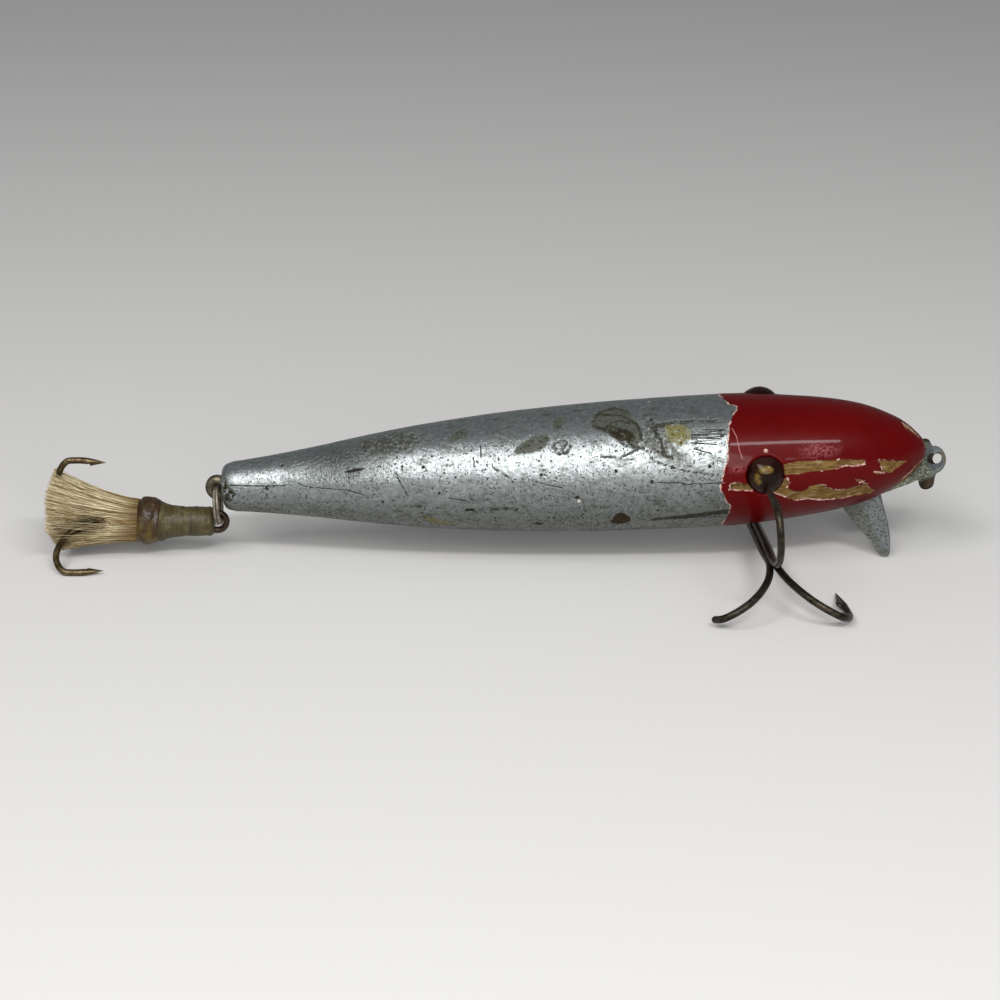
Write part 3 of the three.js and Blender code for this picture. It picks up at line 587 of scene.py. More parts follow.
def make_piece(name, patches, materials, fields=None):
    """Puts patches, in millimetres, into one mesh whose object stays at the origin. Each quad joins a
    point to the next in its row and in its column, in the order that makes the patch face outward."""
    places, quads, fans, start = [], [], [], 0
    for patch in patches:
        points, ring = patch["points"], patch["ring"]
        rows, columns = points.shape[:2]
        index = start + np.arange(rows * columns).reshape(rows, columns)
        ends = [] if ring else [0, rows - 1]
        places += [points.reshape(-1, 3)] + [points[end].mean(axis=0, keepdims=True) for end in ends]
        start += rows * columns + len(ends)
        row_values, column_values = patch["chart"] or (
            np.arange(rows + 1) / rows, np.arange(columns + 1) / columns)
        a, b = np.indices((rows if ring else rows - 1, columns)).reshape(2, -1)
        corner_a, corner_b = np.stack([a, a + 1, a + 1, a], 1), np.stack([b, b, b + 1, b + 1], 1)
        parts = [(index[corner_a % rows, corner_b % columns],
                  np.stack([row_values[corner_a], column_values[corner_b]], -1))]
        for pole, end in enumerate(ends, start - len(ends)):
            sides = [index[end], np.roll(index[end], -1)][::1 if end == 0 else -1]
            parts.append((np.stack([*sides, np.full(columns, pole)], 1),
                          np.stack([np.full((columns, 3), row_values[end]),
                                    np.repeat(column_values[:columns, None], 3, axis=1)], -1)))
        known = np.concatenate(places)
        order = -1 if sum(enclosed(known, faces) for faces, _ in parts) < 0 else 1
        parts = [(faces[:, ::order], chart[:, ::order], np.full(len(faces), patch["finish"]))
                 for faces, chart in parts]
        quads.append(parts[0])
        fans += parts[1:]
    places = np.concatenate(places) / 1000.0
    faces, charts, finishes = zip(*quads, *fans)
    corners = np.concatenate([part.ravel() for part in faces])
    sizes = np.concatenate([np.full(len(part), part.shape[1]) for part in faces])
    mesh = bpy.data.meshes.new(name)
    mesh.vertices.add(len(places))
    mesh.vertices.foreach_set("co", places.astype(np.float32).ravel())
    mesh.loops.add(len(corners))
    mesh.loops.foreach_set("vertex_index", corners.astype(np.int32))
    mesh.polygons.add(len(sizes))
    mesh.polygons.foreach_set("loop_start", np.concatenate([[0], np.cumsum(sizes)[:-1]]).astype(np.int32))
    mesh.polygons.foreach_set("use_smooth", np.ones(len(sizes), bool))
    mesh.polygons.foreach_set("material_index", np.concatenate(finishes).astype(np.int32))
    mesh.update(calc_edges=True)
    charts = np.concatenate([part.reshape(-1, 2) for part in charts])
    mesh.uv_layers.new(name="chart").data.foreach_set("uv", charts.astype(np.float32).ravel())
    for field_name, values in (fields or {}).items():
        full = np.zeros(len(places), np.float32)
        full[:values.size] = values.ravel()
        mesh.attributes.new(field_name, "FLOAT", "POINT").data.foreach_set("value", full)
    for material in materials:
        mesh.materials.append(material)
    mesh.validate()
    add_piece(name, mesh)


body_chart = (np.append(outline[:, 0], outline[-1, 0]), np.append(np.degrees(around), 180.0))
make_piece("wooden_body", [grid(as_it_lies(points), chart=body_chart)], [body_finish()], fields)


# The eyes are blown glass domes, clear outside and painted inside in yellow with a brown pupil and a
# dark red-brown edge. Each is glued in a drilled socket and stands proud of it.
eye_foot, eye_rim, eye_top = -1.15, -0.35, 1.6
eye_columns, eye_pole = 72, 0.04


def eye_finish():
    """Painted cup: rings by the distance from the middle, yellow only in two windows at the upper rear of
    the iris with dark brown round them, and a faint pale arc at the pupil's top that is a painted highlight."""
    back = Finish("painted_eye_back")
    rise = back.rise
    out, turn = back.chart()
    rays, mottle = back.noise(0.28, 3.0, 0.65), back.noise(0.7, 4.0, 0.6)
    ragged = out + (mottle - 0.5) * 0.16 + (rays - 0.5) * 0.06
    swung = turn + (mottle - 0.5) * 0.07
    window = lambda low, high: rise(swung, low - 0.03, low + 0.02) * rise(swung, high + 0.03, high - 0.02)
    lit = window(0.12, 0.37).most(window(0.43, 0.63)) * (0.7 + rays * 0.5)
    iris = rise(ragged, 0.24, 0.32) * rise(ragged, 0.68, 0.58) * lit
    # A pale arc at the pupil's upper edge: a painted highlight.
    pale = rise(ragged, 0.17, 0.20) * rise(ragged, 0.25, 0.21) * window(0.13, 0.40)
    yellow = back.coats((0.040, 0.026, 0.004), (rise(rays - abs(ragged - 0.45) * 1.6, 0.15, 0.5),
                                                (0.20, 0.150, 0.032)))
    tone = back.coats((0.003, 0.0005, 0.0003), (mottle, (0.014, 0.003, 0.001)), (iris.least(1.0), yellow),
                      (rise(ragged, 0.64, 0.74), (0.014, 0.0003, 0.0004)), (pale * 0.2, (0.12, 0.07, 0.04)))
    return back.set(Base_Color=tone, Roughness=0.5, Specular_IOR_Level=0.1)


def eye_patches(station, way):
    """Dome of glass over the paint inside it: the dome's height is a circle's arc over the radius, and
    the paint's height falls with the square of the radius."""
    foot, rim, top = (float(body_radius(station)) + height for height in (eye_foot, eye_rim, eye_top))
    rise = top - rim
    ball = (eye_radius ** 2 + rise ** 2) / (2 * rise)
    arc = math.asin(min(1.0, eye_radius / ball)) * np.linspace(0, 1, 30)
    dome = np.stack([ball * np.sin(arc), top - ball * (1 - np.cos(arc))], 1)
    dome[0, 0] = eye_pole
    glass_profile = np.concatenate([dome, [(eye_radius + 0.01, rim - 0.1), (eye_radius - 0.05, foot),
                                           (eye_pole, foot)]])
    hollow = np.linspace(eye_pole, eye_radius - 0.10, 26)
    inner = np.stack([hollow, rim - 0.05 + (rise - 0.35) * (1 - (hollow / eye_radius) ** 2)], 1)
    paint_profile = np.concatenate([inner, [(eye_radius - 0.02, rim - 0.02), (eye_radius + 0.1, rim - 0.06),
                                            (eye_radius + 0.12, foot - 0.05), (eye_pole, foot - 0.05)]])
    columns = np.linspace(0, 1, eye_columns + 1)
    turn = columns[:-1] * 2 * math.pi
    patches = []
    for number, profile in enumerate((glass_profile, paint_profile)):
        out, up = profile[:, :1], profile[:, 1:]
        y, z = out * np.sin(turn), up + 0 * turn
        tilted = np.stack([out * np.cos(turn) + station, y * math.cos(way) - z * math.sin(way),
                           y * math.sin(way) + z * math.cos(way)], -1)
        patches.append(grid(as_it_lies(tilted), finish=number,
                            chart=(np.append(profile[:, 0], 0) / eye_radius, columns)))
    return patches


clear_glass = Finish("clear_eye_glass").set(
    Base_Color=(0.93, 0.76, 0.52), Roughness=0.0, Transmission_Weight=1.0, IOR=1.24)
back_paint = eye_finish()
for side, place in eye_places.items():
    make_piece(side + "_glass_eye", eye_patches(*place), [clear_glass, back_paint])


# The lip is one piece of plated brass sheet, held flat under the chin. Its round tongue holds the line,
# two small ears stand out behind the hole, and the rear is bent down into two pointed, creased wings.
sheet_shown, sheet_round = 0.8, 3.0
lip_back = np.array([-1.0, 0.0, -lip_slope]) / math.hypot(1.0, lip_slope)
lip_down = np.array([lip_slope, 0.0, -1.0]) / math.hypot(1.0, lip_slope)
hole_centre = -0.75
hole_half = (0.90, 1.38)
tongue_half, tongue_reach = 3.35, 2.45
strip_rows = [(8.0, 4.95), (18.9, 5.6)]
ears = {"right": (2.3, 6.5), "left": (1.4, 6.1)}
ear_half = 1.4
wing_root = ((11.3, 4.9), (15.8, 5.2), (18.7, 5.3))
wing_tip = (130.5, 12.0, -18.3)
wing_blunt = 1.5
strip_columns = 420
strip_curl, curl_start, curl_run = 0.95, 3.6, 4.0
crust_height, crust_width = 1.6, 0.5


def curl(run, side):
    """How far the sheet bends up round the chin: the square of the distance from its middle line, from
    behind the ears on."""
    return strip_curl * np.clip((np.asarray(run) - curl_start) / curl_run, 0, 1) * (np.asarray(side) / 4.75) ** 2


def lip_outline(side):
    """Half of the strip's edge from the tongue's front to the rear: an arc, the ear's half circle, and
    the two straight runs of the strip."""
    turn = np.linspace(0, math.pi / 2, 14)
    tongue = np.stack([-tongue_reach * np.cos(turn), tongue_half * np.sin(turn)], 1)
    back, out = ears[side]
    turn = np.linspace(math.pi, 0, 13)
    ear = np.stack([back + ear_half * np.cos(turn), out - ear_half + ear_half * np.sin(turn)], 1)
    tongue = tongue[tongue[:, 0] < ear[0, 0] - 0.1]
    return np.concatenate([tongue, ear, [(back + ear_half, tongue_half + 0.2)], strip_rows])


def reach_of(outline, centre, ways):
    """How far an outline reaches from a centre in each direction: the largest crossing of that ray
    with the outline's edges."""
    first = outline - centre
    second = np.roll(first, -1, axis=0)
    edge = second - first
    cross = lambda a, b: a[..., 0] * b[..., 1] - a[..., 1] * b[..., 0]
    way = ways[:, None, :]
    under = cross(way, edge[None])
    under = np.where(np.abs(under) < 1e-9, 1e-9, under)
    far = cross(first[None], edge[None]) / under
    along = cross(first[None], way) / under
    hit = (along >= -1e-6) & (along <= 1 + 1e-6) & (far > 0)
    return np.where(hit, far, 0).max(axis=1)


def rounded_slab(across, half_thickness, half_width):
    """Height of a flat bar's rounded side: the root of 1 less a high power of the distance from the
    middle, so that it is flat over its width and round at its edges."""
    power = max(2.0, 2.0 * half_width / half_thickness)
    return half_thickness * np.sqrt(np.clip(1 - np.abs(2 * across - 1) ** power, 0, 1))


def lip_strip():
    """Ring-shaped sheet: out from the hole to the outline on top, and back underneath. It is dented by
    slow waves, worn thin round the hole, domed at the ears and crusted along its rear edge."""
    right, left = lip_outline("right"), lip_outline("left")
    edge = np.concatenate([left, (right * [1, -1])[::-1]])
    turn = full_turn(strip_columns)
    ways = np.stack([-np.cos(turn), np.sin(turn)], 1)
    centre = np.array([hole_centre, 0.0])
    reach = reach_of(edge, centre, ways)
    kernel = np.array([1.0, 2.0, 1.0]) / 4
    reach = np.convolve(np.concatenate([reach[-1:], reach, reach[:1]]), kernel, "valid")
    out = 0.5 - 0.5 * np.cos(np.linspace(0, math.pi, 30))
    upper, lower = out, out[::-1][1:-1]
    share = np.concatenate([upper, lower])
    hole = hole_half[0] * hole_half[1] / np.hypot(hole_half[1] * np.cos(turn), hole_half[0] * np.sin(turn))
    width = (reach - hole)[None, :]
    across = share[:, None]
    height = rounded_slab(across, sheet_shown / 2, sheet_round)
    height = height * np.repeat([1.0, -1.0], [len(upper), len(lower)])[:, None]
    distance = hole[None, :] + across * width
    run = centre[0] + distance * ways[None, :, 0]
    side = distance * ways[None, :, 1]
    dent = (0.10 * np.sin(run * 0.55 + 0.8) * np.cos(side * 0.5)
            - 0.035 * np.clip(np.abs(side) - 3.6, 0, 2) ** 2)
    worn = 0.14 * np.exp(-((distance - hole[None, :]) / 0.5) ** 2)
    height = height * (1 - worn / sheet_shown * 1.2)
    knobs = np.convolve(np.tile(np.random.default_rng(3).random(len(turn)), 3), np.ones(3) / 3, "same")
    knobs = 0.45 + 0.9 * knobs[len(turn):2 * len(turn)]
    from_edge = (1 - across) * width
    rear = np.clip((run - 3.4) / 2.0, 0, 1)
    crust = crust_height * np.exp(-((from_edge - 0.1) / crust_width) ** 2) * rear * knobs[None, :]
    height = height + np.where(height > 0, crust, 0)
    ear_dome = 0.34 * np.clip(1 - ((np.abs(side) - 5.0) / 1.3) ** 2 - ((run - 1.9) / 1.5) ** 2, 0, 1)
    height = height + np.sign(height) * ear_dome
    local = (line_tie + lip_back * run[..., None] + np.array([0, 1.0, 0]) * side[..., None]
             - lip_down * (height + dent + curl(run, side))[..., None])
    return as_it_lies(local)


def lip_wing(side):
    """Creased triangle: each point is the root's point mixed with the wing's tip. The front edge bows
    forward, and the rear edge is pulled in near the root. Its thickness is a rounded slab."""
    root_at = lambda run, out: line_tie + lip_back * run + np.array([0, side * out, 0]) - lip_down * curl(run, out)
    front, crease, corner = (root_at(*place) for place in wing_root)
    tip = wing_tip * np.array([1.0, side, 1.0])
    share = 0.5 - 0.5 * np.cos(np.linspace(0, math.pi, 34))
    last_part = 0.88 + 0.115 * np.sin(np.linspace(0, 1, 12)[1:] * math.pi / 2)
    down = np.concatenate([np.linspace(-0.06, 0.88, 44), last_part])[:, None]
    root = np.where(share[:, None] < 0.5, front + (crease - front) * share[:, None] / 0.5,
                    crease + (corner - crease) * (share[:, None] / 0.5 - 1))
    taper = np.clip(down, 0, 1)
    blunt = wing_blunt * np.sqrt(np.clip(1 - (np.clip(down - 0.9, 0, 1) / 0.1) ** 2, 0.01, 1))
    spread = (corner - front) / np.linalg.norm(corner - front)
    end = tip + (share[None, :] - 0.5)[..., None] * blunt[..., None] * spread
    middle = root[None] * (1 - down[..., None]) + end * down[..., None]
    fold = np.exp(-((share[None, :] - 0.5) / 0.16) ** 2) * (1 - taper) * 0.9
    bow = np.sin(math.pi * taper ** 1.4) * (1 - share[None, :]) ** 2 * 0.62
    pull = (taper / 0.16) * np.exp(1 - taper / 0.16) * share[None, :] ** 4
    wave = 0.10 * np.sin(share * 9.0)[None, :] * np.sin(down * 7.0)
    for amount, push in ((fold, (0.15, side * 0.75, 0.35)), (bow, (1.0, 0, 0)),
                         (pull, (-1.1, -side * 1.7, -0.7)), (wave, (0, side, 0))):
        middle = middle + amount[..., None] * np.array(push)
    normal = np.cross(np.gradient(middle, axis=0), np.gradient(middle, axis=1))
    normal /= np.linalg.norm(normal, axis=-1, keepdims=True) + 1e-12
    slab = rounded_slab(share, sheet_shown / 2, sheet_round)[None, :] * np.clip((1.02 - taper) * 7, 0.3, 1)
    upper = middle + normal * slab[..., None]
    lower = (middle - normal * slab[..., None])[:, ::-1][:, 1:-1]
    closed = as_it_lies(np.concatenate([upper, lower], axis=1))
    rear = np.clip((share - 0.46) / 0.08, 0, 1)
    rear = np.broadcast_to(np.concatenate([rear, rear[::-1][1:-1]])[None], closed.shape[:2])
    return (closed, rear) if side < 0 else (closed[:, ::-1], rear[:, ::-1])


def lip_finish():
    """Grey metal, clouded, speckled and pitted, with a green-black crust towards the rear, a rubbed ring
    round the hole, dirt and painted shade behind the ears, and painted shade in the hole's rear."""
    metal = Finish("tarnished_plated_brass")
    rise, noise, spots, coats = metal.rise, metal.noise, metal.spots, metal.coats
    patina, ring, grime_and_shade, tongue = map(metal.field, ("patina", "worn_ring", "grime_and_shade", "tongue"))
    cloud, speckle = noise(2.4, 5.0, 0.65), noise(0.34, 3.0, 0.7)
    speckled = rise(speckle, 0.55, 0.66)
    pits = rise(metal.cells(0.50) + (speckle - 0.5) * 0.5, 0.36, 0.18) * spots(1.2, 0.28, 0.46)
    green = spots(1.7, 0.50, 0.64, 5.0, 0.7) * 0.35 + patina * (0.72 + (cloud - 0.5) * 1.6)
    green = green.most(0.0).least(1.0)
    pale_crust = coats((0.15, 0.165, 0.10), (patina, (0.45, 0.47, 0.34)))
    crust = coats((0.018, 0.026, 0.015), (rise(speckle, 0.42, 0.56), pale_crust))
    # Dark brown-black for dirt and painted shade.
    dirt_and_shade_tone = coats((0.008, 0.006, 0.004), (rise(cloud, 0.35, 0.7), (0.040, 0.024, 0.010)))
    tone = coats((0.125, 0.135, 0.137), (cloud, (0.215, 0.226, 0.23)), (speckled * 0.8, (0.05, 0.056, 0.052)),
                 (pits * 0.8, (0.024, 0.027, 0.026)), (green, crust),
                 (green * spots(0.6, 0.54, 0.62, 4.0, 0.7) * 0.9, (0.030, 0.036, 0.020)),
                 (ring * 0.8, (0.19, 0.225, 0.24)),
                 (tongue * (0.5 + speckle * 0.6), (0.17, 0.13, 0.045)), (grime_and_shade, dirt_and_shade_tone))
    height = speckle * 0.9 + cloud * 0.5 - pits * 0.9 + green * 0.4 + patina * noise(0.5, 4.0, 0.7) * 1.6
    return metal.set(Base_Color=tone, Metallic=(0.75 - green * 0.45 - grime_and_shade * 0.6 - tongue * 0.3).most(0.0),
                     Roughness=0.42 + green * 0.22 + speckled * 0.1 - ring * 0.1, Specular_IOR_Level=0.2,
                     Normal=metal.relief(height, 0.11))


strip_points = lip_strip()
wings = [lip_wing(-1), lip_wing(1)]
patches = [grid(strip_points, ring=True)] + [grid(points) for points, _ in wings]


def lip_fields():
    """Patina by how far back a point lies on the strip, the rubbed ring round the hole, and the dark field
    of dirt and painted shade in the ears' hollows, with painted shade alone in the hole's rear."""
    places = [patch["points"].reshape(-1, 3) for patch in patches]
    places = places[:1] + [np.concatenate([place, patch["points"][[0, -1]].mean(axis=1)])
                           for place, patch in zip(places[1:], patches[1:])]
    local = (np.concatenate(places) - tail_end) @ lure_turn
    run = (local - line_tie) @ lip_back
    side = local[:, 1]
    on_strip = np.arange(len(local)) < len(places[0])
    from_hole = np.hypot(run + 0.25, side)
    patina = np.where(on_strip, np.clip((run + 0.4) / 2.2, 0.35, 1.0), 0)
    rear_facet = np.concatenate([np.zeros(len(places[0]))]
                                + [np.append(rear.ravel(), [0.5, 0.5]) for _, rear in wings])
    ring = np.exp(-((from_hole - 2.15) / 0.55) ** 2) * on_strip * np.clip(1.6 - run, 0, 1)
    # Behind the ears: dirt and painted shade. In the hole's rear: painted shade.
    ears_dirt_and_shade = np.clip((np.abs(side) - 3.9) / 1.0, 0, 1) * (np.abs(run - 2) < 2.6) * on_strip
    painted_hole_shade = np.clip((1.65 - from_hole) / 0.3, 0, 1) * np.clip((run + 0.5) / 0.3, 0, 1) * on_strip
    return {"patina": np.maximum(patina * (1 - ring), rear_facet * 0.45), "worn_ring": ring,
            "grime_and_shade": np.clip(ears_dirt_and_shade + painted_hole_shade, 0, 1),
            "tongue": np.clip((-1.6 - run) / 0.7, 0, 1) * on_strip}


make_piece("metal_lip", patches, [lip_finish()], lip_fields())


# Round steel wire is bent into the screw eyes, the split ring and the treble hooks. Each screw eye is a
# ring on a short shank that goes into the wood, and all of them have gone brown with age.
def wire(path, radius, facing, sides=14, closed=False, flat=1.0):
    """Tube along a path: each point is the path's, plus the radius times the cosine of one side
    direction and the sine of the other. The first side direction is held near one that is given."""
    path = np.asarray(path, float)
    if closed:
        along = np.roll(path, -1, axis=0) - np.roll(path, 1, axis=0)
    else:
        along = np.gradient(path, axis=0)
    along = along / np.linalg.norm(along, axis=1, keepdims=True)
    facing = np.broadcast_to(np.asarray(facing, float), path.shape)
    second = np.cross(along, facing)
    second /= np.linalg.norm(second, axis=1, keepdims=True)
    first = np.cross(second, along)
    turn = full_turn(sides)
    radius = np.broadcast_to(np.asarray(radius, float), (len(path),))[:, None, None]
    flat = np.broadcast_to(np.asarray(flat, float), (len(path),))[:, None, None]
    turn = turn[None, :, None]
    offset = flat * np.cos(turn) * first[:, None] + np.sin(turn) * second[:, None]
    return path[:, None] + radius * offset


ring_steps = 72


def circle(centre, first, second, radius, stretch=1.0):
    """Ring of points: the centre, plus the radius times the cosine of one direction and the stretched
    sine of the other."""
    turn = full_turn(ring_steps)[:, None]
    return centre + radius * (np.cos(turn) * np.asarray(first) + stretch * np.sin(turn) * np.asarray(second))


def steel_finish(name, dark, light, rust, shine=0.38, varnish=0.0):
    """Steel that is clouded from dark to light, with rust; its end nearest the lure can be varnished."""
    steel = Finish(name)
    cloud, fine = steel.noise(1.3, 5.0, 0.65), steel.noise(0.3, 3.0, 0.65)
    rusty = steel.spots(0.9, 0.54, 0.68, 4.0, 0.7)
    along = steel.node("ShaderNodeSeparateXYZ", {}, {0: steel.place})
    varnished = steel.rise(along, -58.0, -57.0) * steel.rise(along, -39.0, -40.0) * varnish
    tone = steel.coats(dark, (steel.rise(cloud, 0.35, 0.68), light), (rusty * 0.7, rust),
                       (varnished * 0.85, (0.020, 0.009, 0.004)))
    return steel.set(Base_Color=tone, Metallic=0.85 - rusty * 0.55 - varnished * 0.3,
                     Roughness=shine + rusty * 0.25 + fine * 0.12, Normal=steel.relief(fine + cloud, 0.05))


brown_steel = steel_finish("browned_steel", (0.045, 0.036, 0.020), (0.17, 0.145, 0.10), (0.05, 0.022, 0.010))
screw_ring, screw_wire = 1.38, 2.1
screw_pitch, screw_thread = 0.9, 0.10
x_way, y_way, z_way = np.eye(3)


def screw_eye(centre, shank_way, across_way, shank, stretch):
    """Ring, and a stem whose radius waves once in each pitch of the thread and narrows towards its end."""
    facing = np.cross(shank_way, across_way)
    ring = wire(circle(centre, shank_way, across_way, screw_ring, stretch), screw_wire / 2, facing, closed=True)
    run = np.linspace(screw_ring - 0.1, screw_ring + shank, 60)
    thread = screw_thread * np.sin((run - screw_ring) * 2 * math.pi / screw_pitch) * (run > screw_ring + 1.2)
    radius = screw_wire / 2 * (1 + thread) * np.linspace(1, 0.72, 60)
    stem = wire(centre + run[:, None] * shank_way, radius, facing)
    return [grid(ring, ring=True), grid(stem)]


lure_x, _, lure_z = lure_turn.T
tail_hole = as_it_lies([-1.1, 0.0, 0.0])
make_piece("belly_screw_eye", screw_eye(as_it_lies([104.7, 0.0, -16.25]), lure_z, lure_x, 7.0, 1.0), [brown_steel])
make_piece("tail_screw_eye", screw_eye(tail_hole, lure_x, np.cross(y_way, lure_x), 5.6, 1.12), [brown_steel])


# The belly hook is three blackened wires brazed side by side into one shank with a round eye. Each bends
# out to a barbed point. The left one has lost its point and ends in a rounded stub.
def evenly(rows, count):
    """Rows of a profile spread evenly along its length, on the smooth curve through them."""
    lengths = chord(rows)
    return smooth_curve(np.linspace(0, lengths[-1], count), lengths, rows)


def hook_patches(hook, shank, ways, from_eye, broken=None):
    """Each arm is a tube along a smooth curve through the rows of its bend, in the plane of the shank
    and the arm. The radius falls to nothing along the point, and the barb is a thin spike off it."""
    centre, *ends = from_eye(np.concatenate([np.zeros((1, 3)), np.eye(3)]))
    along_way, side_way, top_way = ends - centre
    eye = circle(centre, along_way, top_way, hook["eye_ring"])
    patches = [grid(wire(eye, hook["eye_wire"] / 2, side_way, closed=True), ring=True)]
    radius, inner = hook["wire"] / 2, hook["wire"] * 0.55
    for name, way in ways.items():
        out_way = math.cos(way) * side_way + math.sin(way) * top_way
        plane = np.cross(along_way, out_way)
        in_place = lambda rows: centre + rows[:, 1:] * along_way + rows[:, :1] * out_way
        whole = name != broken
        bend = [*hook["bend"], hook["tip"]] if whole else hook["bend"][:hook["broken_after"]]
        rows = [(inner, hook["eye_ring"] * 0.8), (inner, hook["eye_ring"] + 1.5), (inner, shank * 0.5),
                (inner, shank + hook["flare_start"] * hook["gap"])]
        rows = np.array(rows + [(out * hook["gap"], shank + past * hook["gap"]) for out, past in bend])
        path = evenly(rows, 150)
        left = chord(rows)[-1] * (1 - np.linspace(0, 1, 150))
        if whole:
            thick = radius * np.clip(left / hook["point"], 0.06, 1) ** 0.8
        else:
            thick = radius * np.sqrt(np.clip(1 - (1 - np.clip(left / 0.8, 0, 1)) ** 2, 0.02, 1))
        patches.append(grid(wire(in_place(path), thick, plane)))
        if whole:
            spear = (path[-1] - path[-12]) / np.linalg.norm(path[-1] - path[-12])
            share = np.linspace(0, 1, 24)
            blade = rows[-1] - (spear * hook["barb_run"] + [hook["barb"], 0.0]) * share[:, None]
            width = hook["barb"] * share * np.sqrt(np.clip((1 - share) / 0.04, 0, 1)) + 0.05
            patches.append(grid(wire(in_place(blade), width, plane, 12, flat=0.6 - 0.2 * share)))
    return patches


belly_hook = dict(wire=1.45, gap=14.8, eye_ring=1.95, eye_wire=1.3, point=7.5, barb=1.05, barb_run=8.8,
                  flare_start=-0.8,
                  bend=[(0.19, -0.29), (0.34, -0.06), (0.5, 0.07), (0.68, 0.12), (0.86, 0.09), (0.98, -0.06),
                        (1.0, -0.4)], tip=(0.97, -1.03), broken_after=6)
hanger = as_it_lies([104.7, 0.0, -18.05]) + np.array([0, -0.3, 0])
shank_way = np.array([52.4, -35.5, 8.4]) + shift - hanger
belly_shank = np.linalg.norm(shank_way)
shank_way = shank_way / belly_shank
shank_side = np.cross(z_way, shank_way)
shank_side /= np.linalg.norm(shank_side)
belly_basis = np.stack([shank_way, shank_side, np.cross(shank_way, shank_side)])
belly_ways = {"top": math.radians(95), "right": math.radians(-28.5), "left": math.radians(208.6)}
black_steel = steel_finish("blackened_steel", (0.016, 0.013, 0.008), (0.055, 0.046, 0.032),
                           (0.035, 0.018, 0.008), 0.34)
make_piece("belly_treble_hook",
           hook_patches(belly_hook, belly_shank, belly_ways, lambda p: hanger + p @ belly_basis, "left"),
           [black_steel])


# The split ring is a flat steel wire wound twice round, and joins the tail's screw eye to the hook's eye.
ring_radius, ring_wire, ring_step = 3.7, 0.42, 0.30
ring_tilt = math.radians(-3.5)
tail_eye_up = 7.1 + shift[2]


def split_ring():
    """Two turns side by side: a circle whose place along its axis steps over once, half way."""
    turn = np.linspace(0.15, 4 * math.pi - 0.15, 150)[:, None]
    axis_way = np.array([math.cos(ring_tilt), 0, -math.sin(ring_tilt)])
    up_way = np.cross(axis_way, y_way)
    centre = np.array([tail_hole[0] - 0.08, shift[1], (tail_hole[2] + tail_eye_up) / 2])
    path = (centre + ring_radius * (np.cos(turn) * up_way + np.sin(turn) * y_way)
            + ring_step * np.tanh((turn - 2 * math.pi) * 1.6) * axis_way)
    return [grid(wire(path, ring_wire, axis_way, 12, flat=0.72))]


dull_steel = steel_finish("dulled_steel", (0.15, 0.13, 0.10), (0.38, 0.34, 0.27), (0.06, 0.032, 0.014), 0.5)
make_piece("tail_split_ring", split_ring(), [dull_steel])


# The tail hook is a smaller treble of plain steel wire, greyed and brown in places. Its shank is inside
# the dressing, and only the eye, the bends and the points show.
tail_hook = dict(wire=1.3, gap=12.85, eye_ring=1.88, eye_wire=1.3, point=3.6, barb=0.5, barb_run=3.3,
                 flare_start=-0.6,
                 bend=[(0.12, -0.16), (0.22, 0.03), (0.43, 0.17), (0.66, 0.22), (0.87, 0.165), (0.985, 0.06),
                       (1.0, -0.07), (0.99, -0.27)], tip=(0.965, -0.53))
tail_eye = np.array([tail_hole[0] - 0.42, shift[1], tail_eye_up])
tail_ways = {"top": math.radians(90), "left": math.radians(210), "right": math.radians(-30)}


def behind(points):
    """From the tail hook's frame (away from its eye, across, up) to the table's."""
    return tail_eye + np.asarray(points) @ np.stack([-x_way, -y_way, z_way])


grey_steel = steel_finish("greyed_steel", (0.045, 0.028, 0.011), (0.155, 0.115, 0.060),
                          (0.075, 0.038, 0.018), 0.30, 1.0)
make_piece("tail_treble_hook", hook_patches(tail_hook, 28.2, tail_ways, behind), [grey_steel])


# The dressing: the hair is laid round the hook's shank and bound with waxed thread, and a lump of dark
# brown lacquer covers its roots.
dressing_columns = 96
thread_pitch, thread_back = 0.62, 0.028


def turned_about_shank(profile, ripple, slant=0.0):
    """Surface of revolution about the shank: radius = the profile's, plus a ripple of the distance
    along and the angle round. Its top can slant towards the eye by the sine of the angle."""
    along, turn = np.broadcast_arrays(profile[:, :1], full_turn(dressing_columns)[None, :])
    radius = profile[:, 1:2] + ripple(along, turn)
    along = along - slant * np.sin(turn)
    return [grid(behind(np.stack([along, radius * np.cos(turn), radius * np.sin(turn)], -1)))]


def thread_turns(along, turn):
    """Windings: the thread's round back, repeated every pitch, with its start turning round once, on a
    slightly uneven bed."""
    phase = (along / thread_pitch + turn / (2 * math.pi)) % 1.0
    back = np.sqrt(np.clip(1 - (2 * phase - 1) ** 2, 0, 1))
    uneven = 0.04 * np.sin(along * 1.9) + 0.02 * np.sin(along * 4.7 + 1.0) + 0.05 * np.sin(2 * turn + along)
    ends = np.clip((along - 0.6) / 0.5, 0, 1) * np.clip((11.2 - along) / 0.5, 0, 1)
    return (thread_back * back + uneven) * ends - 0.02


wrap_rows = np.array([(0.45, 0.7), (0.46, 1.8), (0.7, 2.6), (1.2, 2.9), (2.2, 2.92), (3.8, 2.88), (5.5, 2.94),
                      (7.0, 3.06), (8.6, 3.22), (9.8, 3.45), (10.6, 3.75), (11.3, 3.98), (11.6, 3.7), (11.7, 0.7)])


